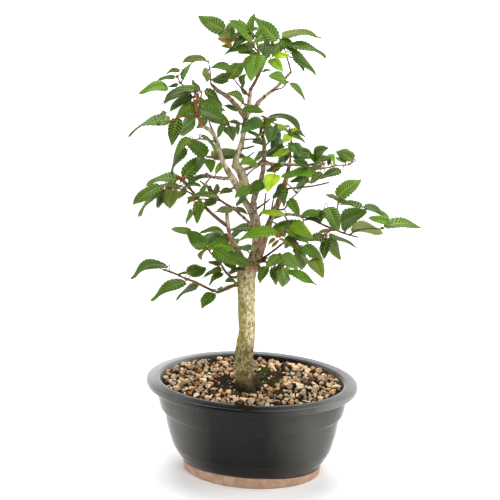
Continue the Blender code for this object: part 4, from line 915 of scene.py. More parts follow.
bm = bmesh.new()
bm.from_mesh(stems.data)
age_layer = bm.verts.layers.float_color.new("age")
stem_layer = bm.verts.layers.float.new("stem")
flaking_layer = bm.verts.layers.float.new("flaking")
for vert in bm.verts:
    place = vert.co / MM
    lump = noise.noise(place * BARK_LUMP_SCALE) * BARK_LUMP
    lump *= BARK_LUMP_AT_SOIL + (1 - BARK_LUMP_AT_SOIL) * step_up(place.z, *OUT_OF_SOIL)
    fissure = abs(noise.noise(Vector(value * scale for value, scale in zip(place, BARK_FISSURE_SCALE))))
    vert.co += vert.normal * (lump - fissure * BARK_FISSURE) * MM
    wander = noise.noise(place * WANDER_SCALE)
    weather = step_up(WEATHER_WANDER * wander - vert.normal.dot(right), *WEATHER_SIDE)
    dampness = 1 - step_up(place.z + DAMP_WANDER * wander, *DAMP_UP_TO)
    clinging = step_up((place - foot).dot(right), *SOIL_RISE_FROM) * SOIL_RISE
    soil = 1 - step_up(place.z + SOILED_WANDER * wander - clinging, *SOILED_UP_TO)
    vert[age_layer] = (weather, dampness, SOILED_MOST * soil, 1.0)
    vert[stem_layer] = step_up(place.z + STEMS_WANDER * wander, *STEMS_FROM)
    across, down = in_view(place)
    out = min(math.hypot((across - middle) / half, (down - low) / tall)
              for middle, low, half, tall in FLAKING_PLACES)
    vert[flaking_layer] = FLAKING_MOST * (1 - step_up(out + FLAKING_WANDER * wander, *FLAKING_EDGE))
bm.to_mesh(stems.data)
bm.free()
stems.data.materials.clear()
stems.data.materials.append(bark)
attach(stems, "root")
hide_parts("trunk")

# The branches and the bare twigs
# Thinner wood that grows out of the stems: grey-tan on the branches, reddish brown on the young twigs, with
# rings where leaves have stood. Each starts inside the wood that bears it.
# The diameters at which bark has turned from young to old, on grey and on brown branches, and that at which
# it is still all young
OLD_BRANCH = 3.6
BROWN_BRANCH = 7.0
YOUNG_TWIG = 2.2
PAPERY_SHARE = 0.6
BRANCH_SIDES = 12
NODE_SPACING = 9.0
NODE_SWELL = 0.16
NODE_SHARPNESS = 8
TWIG_LUMP = 0.22
TWIG_LUMP_SCALE = 0.7

twig_bark, tree = new_finish("young_bark")
ages = add_node(tree, "SeparateColor", {0: painted(tree, "age")}).outputs
grey = clouds(tree, {"First": colour(196, 178, 152), "Second": colour(84, 62, 42), "Scale": 440.0,
                     "Low": 0.42, "High": 0.6})
brown = clouds(tree, {"First": colour(124, 94, 66), "Second": colour(62, 42, 28), "Scale": 600.0,
                      "Low": 0.36, "High": 0.62})
bark_tone = mixed(tree, ages["Red"], grey["Colour"], brown["Colour"])
stalk_green = clouds(tree, {"First": colour(140, 148, 66), "Second": colour(120, 110, 58), "Scale": 300.0})
greener = mixed(tree, ages["Green"], bark_tone, stalk_green["Colour"])
papery = clouds(tree, {"First": colour(186, 122, 62), "Second": colour(126, 78, 38), "Scale": 500.0})
shoot_tone = mixed(tree, ages["Blue"], greener, papery["Colour"])
pores = clouds(tree, {"Scale": 900.0})
feed(tree, {"Base Color": shoot_tone, "Roughness": 0.72, "Specular IOR Level": 0.22,
            "Normal": bumped(tree, pores["Height"], 0.4, 0.8)})


def nearest_wood(place, line):
    """The nearest point of a line of places and diameters, and the diameter there."""
    nearest = None
    for (start, wide), (end, narrow) in zip(line, line[1:]):
        along = end - start
        share = max(0.0, min(1.0, (place - start).dot(along) / along.length_squared))
        apart = (place - start - along * share).length
        if nearest is None or apart < nearest[0]:
            nearest = (apart, start + along * share, wide + (narrow - wide) * share)
    return nearest[1:]


def rough_limb(whole, line, sides, young_at, old_at, green=0.0, papery=0.0):
    """A branch with its lumps and rings, added to a bmesh whose age layer tells how young its bark is."""
    layer = whole.verts.layers.float_color["age"]
    for vert in gathered(whole, limb(line, sides)):
        middle, diameter = nearest_wood(vert.co, line)
        ring = 0.5 + 0.5 * math.cos(math.tau * (middle - line[0][0]).length / NODE_SPACING)
        swell = NODE_SWELL * ring ** NODE_SHARPNESS + TWIG_LUMP * noise.noise(vert.co * TWIG_LUMP_SCALE)
        vert.co += (vert.co - middle) * swell
        vert[layer] = (1 - step_up(diameter, young_at, old_at), green, papery, 1.0)


branches = bmesh.new()
branches.verts.layers.float_color.new("age")
for (kind, _), line in zip(BRANCHES, branch_lines):
    if kind != "stem":
        old_at = OLD_BRANCH if kind == "grey" else BROWN_BRANCH
        papery = PAPERY_SHARE if kind == "papery" else 0.0
        rough_limb(branches, line, BRANCH_SIDES, YOUNG_TWIG, old_at, papery=papery)
branches = new_piece("branches", branches, twig_bark)
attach(branches, "root")
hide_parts("trunk")

# The leafy sprays
# Each spray is a thin young twig with its leaves: ovate blades, twice toothed, pleated along straight side
# veins, shiny above and paler beneath, on short stalks. Papery brown bud scales sit at the twig's nodes.
LEAF_SEED = 11
# A twig's first point lies on the wood that bears it: across, down, depth. A leaf is its blade's base and
# tip, across and down, its width as seen, how it leans (-1 towards the viewer, 1 away, 3 away with its pale
# underside seen), how high it arches for its length, and its tone. The frame has each spray's first leaves;
# its last ones are added between them.
SPRAYS = (
    ("spray_top_left",
     ((265, 61, -5), (260, 55, -6), (255, 48, -9), (249, 41.5, -12), (240, 38.5, -15), (229, 37.5, -19)),
     ((224, 30.5, 198, 16.5, 16, 1, 0.06, "mid"), (226, 42, 214, 25, 9, 3, 0.06, "pale"),
      (252, 41, 228, 20, 11, -1, 0.08, "mid"), (229, 43, 231, 21, 13, 1, 0.05, "mid"),
      (248, 35, 255, 13, 9, 1, 0.05, "mid"), (243, 37, 240, 18.5, 12, 1, 0.05, "dull"),
      (245, 37, 232, 48, 8, -1, 0.07, "dark"), (232, 46, 217, 38.5, 5, -1, 0.06, "brown"),
      (253, 48, 224, 54.5, 8, -1, 0.12, "mid"), (256, 55, 251, 81, 22, -1, 0.04, "bright")),
     ((250, 31, 234, 36, 9, 1, 0.05, "dark"), (231, 46, 221, 46, 5, 1, 0.06, "pale"),
      (256, 50, 238, 53, 7, 1, 0.06, "dull"), (249, 31.5, 260, 27.5, 4, 1, 0.06, "dark"))),
    ("spray_top_right",
     ((265, 61, -5), (268, 56, 0), (270, 50, 6), (272, 44, 11)),
     ((277, 41, 254, 17, 15, 1, 0.06, "mid"), (268, 38, 252, 43.5, 6, 1, 0.08, "bright"),
      (276, 45, 263, 60, 12, -1, 0.06, "dark"), (271, 59, 283, 72, 11, -1, 0.06, "fresh"),
      (288, 57, 271, 55, 7, 1, 0.06, "yellow")),
     ((271, 40, 263, 50, 7, 1, 0.05, "dark"), (263, 71, 271, 70.5, 3, -1, 0.06, "mid"))),
    ("spray_upper_left",
     ((249.7, 97, 0), (243, 90, -8), (238, 84.5, -14), (234.5, 80, -18), (231, 78, -21)),
     ((232, 70, 210, 68, 9, -1, 0.2, "mid"), (229, 78, 243, 62, 15, 1, 0.06, "mid"),
      (229, 79, 211.5, 80, 11, 1, 0.05, "dark"), (241, 86, 246, 74, 8, -1, 0.06, "dark")),
     ((247, 95, 240, 87, 5, 1, 0.05, "pale"),)),
    ("spray_left_point",
     ((211, 84, -18), (210.5, 78, -19), (210, 70, -20), (208.5, 62, -21)),
     ((208.5, 69.5, 205.5, 81, 9, 1, 0.05, "pale"), (208, 61, 181, 64, 8, -1, 0.2, "olive")),
     ()),
    ("spray_right_point",
     ((291, 72, 23.5), (289, 64, 30), (287, 58, 35), (285, 51, 39), (283.5, 44, 42)),
     ((282, 36.5, 321.5, 38, 8, 1, 0.11, "olive"), (288, 46, 326, 57.5, 8, -1, 0.11, "mid"),
      (280, 39, 299, 56, 10, -1, 0.07, "mid"), (291, 53, 316, 75, 9, 1, 0.05, "mid"),
      (285, 42, 271, 58, 9, -1, 0.06, "mid")),
     ((293, 56, 305, 72, 6, 1, 0.06, "dull"),)),
    ("spray_right_shoulder",
     ((271, 91, 13), (279, 89, 6), (283.5, 87, 2), (287, 82.5, -2)),
     ((290, 83, 304.5, 100, 6, -1, 0.1, "mid"), (285, 80, 268, 76, 12, -1, 0.06, "bright")),
     ()),
    ("spray_left_shoot",
     ((198, 96, 6), (192, 90, 16), (185, 86.5, 24), (180, 82, 30), (177.5, 77, 34)),
     ((182, 82, 195, 61, 5, 1, 0.14, "mid"), (176, 78, 157, 80.5, 5, 1, 0.1, "dark"),
      (168, 87, 139, 94, 11, -1, 0.14, "bright")),
     ((178, 85, 168, 87, 4, 1, 0.05, "dark"), (180, 70, 166, 73.5, 5, -1, 0.1, "dark"))),
    ("spray_left_high",
     ((200, 120, -3), (195.5, 114, 4), (193.5, 106, 9), (194, 98, 12)),
     ((194, 90, 161, 105, 10, 1, 0.13, "dark"), (194, 97, 168.5, 113, 9, 1, 0.12, "dark"),
      (196, 104, 175.5, 118, 13, -1, 0.07, "bright"), (195, 119, 180, 135, 14, 1, 0.06, "mid"),
      (197, 92, 192.5, 79.5, 7, 1, 0.05, "dark")),
     ((196, 90, 176, 88, 8, 1, 0.06, "mid"),)),
    ("spray_left_inner",
     ((198, 112, 0), (199.5, 107, -9), (200.5, 100, -16), (201.5, 93, -21)),
     ((204, 91, 222, 106, 9, 1, 0.09, "dark"), (202, 103, 225, 111, 12, -1, 0.12, "mid"),
      (199, 110, 231, 127, 12.5, -1, 0.11, "mid")),
     ()),
    ("spray_left_tip",
     ((199, 116, -1.5), (190, 116, -14), (181, 117, -24), (172, 120, -32)),
     ((178, 117, 171.5, 146, 14, -1, 0.05, "dark"), (170, 122, 128.5, 137.5, 7, 1, 0.15, "mid"),
      (158, 121, 167, 113, 6, -1, 0.06, "dull")),
     ()),
    ("spray_left_shoulder",
     ((217.3, 142, -11), (208, 140, -22), (199, 139, -31), (191, 141, -38)),
     ((190, 138, 175, 157, 9, -1, 0.12, "mid"), (187, 149.5, 172, 175, 8, 1, 0.13, "dark"),
      (201, 135, 216, 153, 4.5, -1, 0.12, "mid")),
     ()),
    ("spray_centre_left",
     ((220.5, 156, -12), (214.5, 157.5, -7), (209, 157, -2)),
     ((207, 156, 184, 138, 15, 1, 0.08, "mid"), (209, 158, 211, 173, 11, -1, 0.06, "mid"),
      (211, 156, 248, 156.5, 12.5, 1, 0.06, "mid"), (223, 162, 215, 176, 6, -1, 0.06, "fresh"),
      (205, 159, 195, 169, 8, 1, 0.06, "dark")),
     ()),
    ("spray_middle_left",
     ((244.2, 126, 2.5), (238, 122.5, -9), (231, 121.5, -18), (225, 122.5, -25)),
     ((224, 124, 218, 138, 7, -1, 0.06, "mid"), (228, 127, 233.5, 141, 12, -1, 0.06, "dull"),
      (231, 123, 243, 124, 4, 1, 0.07, "dark")),
     ((240, 124, 237, 134, 6, 1, 0.06, "dull"),)),
    ("spray_middle_top",
     ((249, 106, 0.5), (244, 103.5, -11), (240.5, 101, -19)),
     ((243, 98.5, 227.5, 93, 9, -1, 0.05, "dull"), (242, 109.5, 265, 112.5, 9, -1, 0.09, "mid"),
      (238, 111, 223, 105, 5, 1, 0.06, "dark")),
     ()),
    ("spray_middle_right",
     ((266, 119, 6), (263, 116, -3), (261, 117, -11)),
     ((262, 120, 240, 133, 13, -1, 0.06, "blue"), (266, 118, 302, 132, 8, -1, 0.22, "dark"),
      (265, 125, 277, 119.5, 8, -1, 0.06, "fresh")),
     ((258, 136, 246, 131, 4, 1, 0.06, "mid"),)),
    ("spray_middle_back",
     ((263.5, 124.5, 7), (270, 122, 16), (275, 124, 24), (278, 126, 30)),
     ((274, 128, 271, 143, 11, -1, 0.06, "blue"), (276, 127, 290, 131, 6, 1, 0.06, "fresh")),
     ((276, 134, 279, 147, 7, 1, 0.05, "dark"),)),
    ("spray_middle_low",
     ((263.5, 141, 10), (263.5, 137, 2), (263.5, 132, -5)),
     ((263, 143, 252, 142, 8, -1, 0.06, "dark"), (262, 134, 257, 138, 5, -1, 0.06, "bright"),
      (265, 127, 268, 144, 5, -1, 0.06, "dark")),
     ()),
    ("spray_right_middle",
     ((290.3, 160, 16), (290.5, 152, 20), (291, 144, 24), (291.5, 136, 27), (290, 130, 29)),
     ((287, 132, 305, 143, 6, 1, 0.1, "mid"), (291, 134, 283, 143, 10, -1, 0.06, "yellow"),
      (292, 142, 300, 157, 13, -1, 0.05, "blue"), (287, 149, 278, 158, 9, -1, 0.06, "yellow"),
      (298, 150, 313, 155, 8, -1, 0.06, "mid"), (284, 147, 267, 157, 8, 1, 0.06, "dark")),
     ((290, 131, 299.5, 129, 4, -1, 0.05, "yellow"), (295, 130, 305, 137, 4, 1, 0.08, "dark"),
      (293, 157, 311, 158, 7, 1, 0.05, "dark"), (284, 157, 277, 165, 7, 1, 0.05, "blue"),
      (283, 151, 271, 158, 5, -1, 0.05, "fresh"), (289, 150, 284, 163, 7, 1, 0.05, "dark"))),
    ("spray_right_arm",
     ((303, 165, -2.3), (311, 168, 6), (319, 169, 13), (328, 167.5, 20), (338, 165.5, 27), (349, 165, 34)),
     ((353.5, 159.5, 336, 151, 12, 1, 0.07, "mid"), (335, 164, 328, 154.5, 6, -1, 0.06, "fresh"),
      (345, 163, 336, 157, 6, 1, 0.06, "mid"), (341, 170, 320, 179, 9, -1, 0.07, "dark")),
     ((329, 158, 329, 166, 5, 1, 0.04, "dark"), (322, 167, 308, 171, 6, 1, 0.05, "dark"))),
    ("spray_right_hand",
     ((313, 164.2, -6), (319, 163, -12), (324, 163, -17)),
     ((314, 157, 328, 147.5, 12, -1, 0.05, "mid"), (318, 163, 308, 154, 8, -1, 0.06, "mid"),
      (308, 166, 292, 161, 8, -1, 0.07, "dark"), (316, 174, 281, 177.5, 11, -1, 0.09, "bright"),
      (322, 173, 310, 184, 9, -1, 0.06, "dark")),
     ((318, 160, 332, 157, 7, 1, 0.05, "dark"), (309, 177, 290, 182, 8, 1, 0.05, "dark"),
      (306, 181, 297, 190, 6, 1, 0.05, "blue"))),
    ("spray_left_arm",
     ((196.5, 197, -4), (191, 190, 2), (187, 185, 6), (182, 180, 10), (178, 177, 13)),
     ((183, 178, 206, 157.5, 16, 1, 0.17, "mid"), (187, 183, 211, 176.5, 6, 1, 0.1, "mid"),
      (178, 180, 145.5, 186.5, 9, 1, 0.16, "mid"), (187, 190, 177, 198, 8, 1, 0.06, "mid")),
     ((186, 185, 201, 186, 6, -1, 0.06, "dark"), (184, 178, 193, 172, 6, 1, 0.05, "dark"),
      (176, 184, 164, 184, 5, 1, 0.05, "dark"), (198, 196, 187, 204, 7, -1, 0.05, "olive"),
      (182, 182, 177, 175, 4, -1, 0.06, "brown"), (184, 183, 187, 176, 3.5, -1, 0.06, "brown"),
      (182, 185, 176, 190, 3.5, -1, 0.06, "brown"))),
    ("spray_left_hand",
     ((200, 201, -6), (190, 193, -17), (180, 189, -25), (170, 187.5, -33), (163, 187, -39)),
     ((162, 186, 132, 206, 12.5, -1, 0.09, "mid"), (160, 188, 139, 217, 8, 1, 0.06, "olive"),
      (172, 190, 170, 209, 17, -1, 0.05, "olive"), (165, 191, 157, 208, 10, 1, 0.06, "dark"),
      (178, 187, 160, 185, 6, 1, 0.08, "dark")),
     ((171, 189, 157, 196, 3.5, -1, 0.06, "brown"), (163, 189, 147, 203, 8, 1, 0.05, "dull"))),
    ("spray_left_under",
     ((221, 200.6, -10), (212, 200, -22), (203, 199, -32), (193, 200, -41)),
     ((200, 199, 197, 224, 11, -1, 0.06, "mid"), (193, 212, 186, 224, 5.5, 1, 0.07, "mid"),
      (217, 196, 187, 198, 6, -1, 0.07, "olive"), (218, 200, 200, 207, 8, 1, 0.07, "mid")),
     ((204, 205, 199, 219, 5, -1, 0.06, "olive"),)),
    ("spray_centre_low",
     ((211, 176.5, -2), (208.5, 180, -10), (206, 183, -17)),
     ((205, 184, 202, 197, 6, -1, 0.06, "mid"),),
     ((208, 186, 213, 197, 5, 1, 0.06, "dark"),)),
    ("spray_centre_front",
     ((256, 192.5, -2), (257, 189, -14), (255, 186, -26), (250, 185, -36)),
     ((263, 183, 247, 195, 13, -1, 0.06, "mid"), (249, 186, 234.5, 198, 10, -1, 0.06, "mid"),
      (246, 196, 236, 206, 7, 1, 0.06, "dark")),
     ()),
    ("spray_centre_bright",
     ((259, 164.5, 8.3), (262, 160, -5), (268, 162, -16), (274, 170, -24)),
     ((274.5, 174, 267, 192, 15.5, -1, 0.04, "yellow"), (254, 160, 239.5, 165, 11, -1, 0.06, "bright")),
     ((281, 167, 266, 171, 8, 1, 0.05, "dark"),)),
    ("spray_centre_fork",
     ((238, 212.6, -5), (235.5, 209, 8), (232, 207, 18)),
     ((233, 211, 212, 214, 6, 1, 0.14, "pale"), (235, 207, 248, 215, 5, -1, 0.06, "dark")),
     ()),
    ("spray_centre_back",
     ((236.5, 187, -4), (231, 189, 8), (224, 190.5, 18), (218, 192, 26)),
     ((233, 189, 219, 194.5, 7, -1, 0.1, "dull"), (217, 194, 217, 183.5, 7, 1, 0.06, "dark")),
     ()),
    ("spray_right_front",
     ((275.5, 209.5, -2), (284, 209, -11), (288, 203, -16), (292, 198, -20), (300, 190, -26),
      (307, 179, -34)),
     ((285, 215, 258, 213.5, 7, -1, 0.06, "yellow"), (289, 199, 299.5, 217, 11, -1, 0.06, "mid"),
      (286, 188, 284, 207, 7, -1, 0.06, "dark"), (309, 181, 296, 187, 6, -1, 0.06, "dark")),
     ((285, 187, 273, 198, 9, 1, 0.06, "dark"),)),
    ("spray_right_low",
     ((308, 218.2, 11), (312, 216, 0), (317, 217, -8), (322, 218, -15)),
     ((320, 215, 300, 216, 9, -1, 0.19, "mid"), (321, 221, 303, 220, 6, -1, 0.08, "dark"),
      (320, 220, 326, 213, 8, -1, 0.06, "dark"), (328, 207, 339, 232, 16, -1, 0.05, "mid")),
     ()),
    ("spray_right_upright",
     ((338.5, 231, 21), (338, 222, 28), (337.5, 210, 36), (338, 200, 43)),
     ((337, 197, 361.5, 179.5, 16, 1, 0.09, "mid"), (334, 199, 327, 194, 6, 1, 0.06, "dull"),
      (346, 204, 333, 198, 5, 1, 0.06, "dark"), (341, 223, 367, 211.5, 20, -1, 0.04, "mid")),
     ()),
    ("spray_right_tip",
     ((349, 235, 23.3), (356, 231, 14), (364, 229, 6), (373, 228.5, -1), (382, 229, -8)),
     ((352, 227, 383.5, 234.5, 13, 3, 0.07, "pale"), (384, 227, 424, 229.5, 10, 1, 0.12, "mid"),
      (388, 222, 368, 218, 9, 1, 0.08, "bright")),
     ()),
    ("spray_right_back",
     ((344, 233.2, 22.3), (350, 224, 32), (358, 213, 40), (366, 209.5, 46), (373, 211, 51)),
     ((362, 207, 343, 202, 7, 1, 0.08, "dark"), (364, 207, 386, 217, 7, 1, 0.1, "dark"),
      (379, 213, 391, 221, 5, 1, 0.07, "mid")),
     ()),
    ("spray_low_right_tip",
     ((331, 228.1, 19.3), (328.5, 232, 8), (324, 235, -2), (318, 236.5, -11)),
     ((325, 238, 306, 240, 10, -1, 0.07, "dark"), (329, 236, 357, 247.5, 4.5, 1, 0.04, "dull"),
      (327, 238.5, 324, 259.5, 11, -1, 0.06, "dark"), (327, 239, 340.5, 260, 12, 1, 0.05, "olive")),
     ((334, 231, 313, 237, 2.5, 1, 0.12, "dull"),)),
    ("spray_low_right",
     ((285, 241.5, -27), (291, 240.5, -32), (297, 244, -38), (303, 249, -43), (309, 256, -48)),
     ((303, 246, 323, 260, 12, -1, 0.06, "mid"), (312.5, 258.5, 323.5, 278, 15, -1, 0.06, "olive"),
      (297, 250, 303, 270, 13, 1, 0.06, "olive"), (285, 238, 306, 257, 7, -1, 0.07, "mid"),
      (292, 235, 308.5, 243, 7, 1, 0.07, "mid")),
     ((290, 246, 302, 252, 6, 1, 0.05, "pale"),)),
    ("spray_low_front",
     ((258, 261, -14), (266, 262, -30), (273, 262, -42), (279, 264, -52), (284, 268, -60)),
     ((281.5, 255, 298, 270, 15, -1, 0.07, "blue"), (288, 271, 317, 285.5, 9, -1, 0.03, "bright"),
      (282, 269, 284.5, 286.5, 13, 1, 0.06, "mid"), (271.5, 268, 277, 285, 10, 1, 0.06, "olive"),
      (266, 266, 259.5, 283.5, 10, -1, 0.06, "mid"), (280, 256, 266, 268, 12, -1, 0.06, "mid")),
     ((286, 261, 275, 271, 8, 1, 0.05, "dark"), (268, 262, 281, 254, 7, 1, 0.05, "dark"),
      (258, 263, 268, 257, 6, 1, 0.05, "dark"))),
    ("spray_front_bright",
     ((284, 214.8, -0.5), (287, 220, -16), (288, 226, -28), (283, 232, -40), (278, 237, -50)),
     ((276, 231, 239, 240, 12, -1, 0.08, "bright"), (291, 224, 313, 238, 14, -1, 0.06, "fresh"),
      (284, 229, 309, 243, 9, 1, 0.06, "mid")),
     ((275, 238, 268, 245, 4, -1, 0.06, "brown"), (279, 240, 271, 249, 3.5, -1, 0.06, "brown"),
      (280, 238, 286, 243, 3, -1, 0.05, "brown"))),
    ("spray_front_upper",
     ((299.5, 215.9, 6.6), (303, 219, -8), (303.5, 223, -20)),
     ((303, 224, 268, 229.5, 10, 1, 0.04, "bright"),),
     ()),
    ("spray_fork_back",
     ((256.5, 236, 1), (254, 232, 16), (251, 230, 28)),
     ((252, 228, 230, 230, 8, 1, 0.07, "dark"), (251, 249, 236, 248, 7, 1, 0.07, "blue")),
     ((241, 232, 229, 237, 7, 1, 0.05, "dark"),)),
    ("spray_low_left",
     ((231.5, 277, -28), (227, 273.6, -32), (222, 266, -38), (217, 259.5, -43), (212, 254.5, -47),
      (207, 248, -52)),
     ((205, 249, 187, 230, 16, 1, 0.05, "mid"), (208, 248, 192, 246, 8, -1, 0.07, "mid"),
      (203, 250, 201, 260, 6.5, -1, 0.06, "pale"), (213, 250, 236, 265, 14, -1, 0.06, "mid"),
      (224, 270, 202, 279.5, 5, 1, 0.14, "dull"), (223, 273, 209, 285.5, 6.5, -1, 0.14, "olive"),
      (229, 272, 246, 270, 5, -1, 0.07, "dark")),
     ((222, 265, 208, 262, 6, 1, 0.06, "dark"), (221, 268, 210, 272, 5, 1, 0.06, "dull"),
      (214, 249, 234, 249, 8, 1, 0.05, "fresh"), (236, 268, 222, 262, 7, 1, 0.06, "mid"))),
    ("spray_left_back",
     ((229.3, 234, -13), (222, 236, 0), (213, 239, 10), (204, 238, 19), (195, 236, 27)),
     ((190, 233, 170, 229, 8, 1, 0.07, "mid"), (226, 234, 200, 233, 7, -1, 0.16, "mid"),
      (222, 238, 201, 244, 12, 1, 0.06, "mid"), (231, 240, 221, 236, 9, 1, 0.06, "dark"),
      (229, 241, 207, 248, 11, 1, 0.05, "bright")),
     ((191, 232, 181, 227, 5, 1, 0.05, "pale"),)),
    ("spray_left_front",
     ((236, 247, -15), (231, 252, -30), (229, 256, -42)),
     ((224, 255, 253, 267, 13, -1, 0.06, "mid"), (234, 250, 220, 251, 5, -1, 0.07, "fresh")),
     ()),
    ("spray_lowest",
     ((218, 292.3, -28), (209, 289, -32), (196.5, 282.5, -36), (186, 278.7, -39), (175, 273.6, -42),
      (163.5, 269.7, -45)),
     ((167.5, 266, 131, 279, 10.5, -1, 0.21, "mid"), (186, 281, 151, 301, 11, -1, 0.08, "mid"),
      (198.5, 286, 176, 301, 6, 1, 0.11, "dull"), (188, 274.5, 206, 268, 14, 1, 0.07, "mid"),
      (213, 292, 201.5, 308.5, 12.5, -1, 0.07, "mid")),
     ((187, 273, 178, 274, 3, 1, 0.05, "dull"), (219, 291, 222, 286, 4, 1, 0.06, "fresh"),
      (236, 282, 225, 281.5, 6, -1, 0.06, "mid"))),
    # Sprays on the far side, which the near ones hide in the view
    ("spray_back_low_left",
     ((253, 256, -5), (246, 250, 20), (236, 246, 42), (224, 243, 60), (212, 241, 76)),
     ((222, 242, 203, 236, 12, 1, 0.06, "dark"), (214, 241, 196, 244, 11, 1, 0.06, "mid"),
      (232, 246, 238, 238, 9, 1, 0.06, "dark")),
     ((236, 247, 222, 252, 10, 1, 0.06, "mid"), (224, 244, 214, 254, 9, 1, 0.06, "dark"))),
    ("spray_back_low_right",
     ((270, 221, -8), (277, 224, 20), (285, 229, 45), (293, 236, 66)),
     ((290, 233, 309, 238, 11, 1, 0.06, "dark"), (283, 228, 300, 229, 10, 1, 0.06, "mid"),
      (288, 233, 270, 232, 11, 1, 0.06, "mid")),
     ((293, 236, 284, 248, 9, 1, 0.06, "dark"),)),
    ("spray_back_top",
     ((256.2, 80, -2.4), (257, 70, 16), (258, 58, 32), (258, 46, 46), (256, 38, 56)),
     ((257, 41, 268, 25, 12, 1, 0.06, "mid"), (255, 40, 238, 28, 9, 1, 0.06, "dark"),
      (258, 52, 252, 72, 13, 1, 0.06, "mid")),
     ((257, 50, 272, 44, 9, 1, 0.06, "mid"), (257, 45, 240, 46, 8, 1, 0.06, "dark"))),
    ("spray_back_left",
     ((213.3, 132, -9), (210, 124, 14), (208, 116, 32), (206, 109, 48)),
     ((206, 110, 224, 110, 10, 1, 0.06, "mid"), (207, 116, 226, 124, 10, 1, 0.06, "dark"),
      (205, 108, 190, 118, 10, 1, 0.06, "mid")),
     ((206, 108, 196, 96, 9, 1, 0.06, "mid"), (209, 118, 196, 128, 9, 1, 0.06, "dark"))),
    ("spray_back_right",
     ((317, 221.2, 14.5), (325, 217, 36), (334, 216, 56), (344, 214, 74)),
     ((342, 215, 358, 214, 11, 1, 0.06, "mid"), (330, 216, 334, 229, 9, 1, 0.06, "dark")),
     ((344, 214, 354, 222, 9, 1, 0.06, "mid"), (326, 217, 316, 210, 8, 1, 0.06, "mid"))),
    ("spray_back_middle",
     ((263.5, 147, 10), (268, 143, 30), (272, 138, 48), (274, 132, 62)),
     ((273, 132, 262, 124, 9, 1, 0.06, "dark"), (272, 138, 284, 146, 9, 1, 0.06, "mid"),
      (273, 131, 290, 126, 7, 1, 0.06, "mid")),
     ((267, 156, 282, 148, 8, 1, 0.06, "dark"), (262, 155, 254, 160, 7, 1, 0.06, "mid"),
      (271, 141, 276, 154, 8, 1, 0.06, "dark"))),
)
# Shifts in depth of a leaf's base and of its tip: the frame's leaf stands at one of them. A later one is
# taken only where it comes nearer by the tolerance
SHIFT_TOLERANCE = 0.1
LEAF_SHIFTS = (
    (0, 0), (0, 4), (0, -4), (2, 6), (-2, -6), (0, 8), (0, -8), (4, 4), (-4, -4), (3, 11), (-3, -11),
    (5, -3), (-5, 3), (7, 7), (-7, -7), (5, 14), (-5, -14), (8, 2), (-8, -2), (9, 16), (-9, -16),
    (12, 12), (-12, -12), (10, 20), (-10, -20), (16, 16), (-16, -16), (20, 20), (-20, -20),
)
UNDERSIDE_SEEN = 3
# The tree's far side has leaves of its own, each behind a broad one of the near side, and smaller
FAR_SHIFTS = ((5, 5), (7, 7), (5, 14), (8, 2), (9, 16), (12, 12), (3, 11), (2, 6))
FAR_TWIN_SHARE = 0.82
FAR_TWIN_LEAST_WIDTH = 9.5
# The upper side's colours, as a screen shows them, before a leaf's own light. They are partly the leaves' own
# colours and partly painted light: dark stands also for leaves in the crown's shade, bright, fresh and yellow
# also for leaves lit through from behind, and blue for a painted sheen
LEAF_TONES = {
    "dark": (46, 70, 10), "mid": (60, 91, 10), "bright": (78, 116, 8), "fresh": (100, 136, 14),
    "yellow": (150, 178, 24), "pale": (96, 110, 48), "blue": (72, 104, 46), "dull": (60, 82, 24),
    "olive": (76, 90, 20), "brown": (128, 86, 36),
}
LEAF_LIGHT = (0.98, 1.17)
# How far added leaves keep from the others, measured at stations along the blade and parts of its half width
LEAF_APART = 2.2
CLEARANCE_STATIONS = 14
CLEARANCE_PARTS = (-1.0, -0.5, 0.0, 0.5, 1.0)
# A blade's real length and width are worked out from those that are seen; it leans as far as they ask
BLADE_LEAST_LENGTH = 20.0
SMALL_BLADE_LEAST_LENGTH = 10.0
SMALL_BLADE_WIDTH = 5.0
BLADE_LENGTH_FOR_SEEN = 1.05
BLADE_LENGTH_FOR_WIDTH = (1.75, 6.0)
BLADE_WIDTH_SHARE = 0.52
SEEN_WIDTH_MOST = 0.97
# How the width rises from the base and falls to the tip, and the most that this gives
BLADE_ROUNDNESS = (0.36, 0.88, 0.476)
BLADE_THICKNESS = 0.3
FOLD = 0.2
FOLD_BACK = 0.09
VEIN_SPACING = 2.5
VEINS_LEAST = 8
VEINS_MOST = 14
# How strongly a blade's veins are lightened, partly their own paler colour and partly a painted glint
VEIN_AND_GLINT_STRENGTH = (0.15, 0.72)
# Rows run across the blade, four to a vein and swept toward the tip; columns stand at shares of the half
# width
ROWS_PER_VEIN = 4
VEIN_SWEEP = 0.19
VEIN_SWEEP_POWER = 0.8
ACROSS_STEPS = (0.0, 0.1, 0.36, 0.68, 1.0)
TOOTH_STEPS = (1.1, 0.94, 1.0, 0.86)
TOOTH_LEAD = 0.012
PLEAT_STEPS = (-1.0, 0.5, 1.0, 0.5)
PLEAT_HEIGHT = 0.62
# A pleat is highest between the midrib and the edge, and less where the blade is narrow
PLEAT_PART_ADDED = 0.12
PLEAT_PART_MOST = 0.9
PLEAT_FULL_HALF_WIDTH = 4
PLEAT_AT_ENDS = 0.25
# The midrib is sunk and fades out at the tip; waves along the edges rise with the blade's length
MIDRIB_DEPTH = 0.3
MIDRIB_FADE = 3
WAVE_HEIGHT = 0.035
WAVE_SHARES = (0.5, 1.0)
WAVE_TURN = 9
WAVE_SIDE_TURN = 2.0
# A stalk leaves the twig where it is short and least bent, and ends just inside the blade
STALK_DIAMETER = 0.9
STALK_TAPER = (1.2, 1.0, 1.0, 0.7)
STALK_LEAST = 3.0
STALK_BEND_COST = 5.0
STALK_BEND_SHARE = 0.4
STALK_BEND_MOST = 6.0
STALK_INTO_BLADE = 0.03
STALK_UNDER_BLADE = 0.3
STALK_GREEN = (0.5, 1.0)
STALK_SIDES = 6
TWIG_SIDES = 8
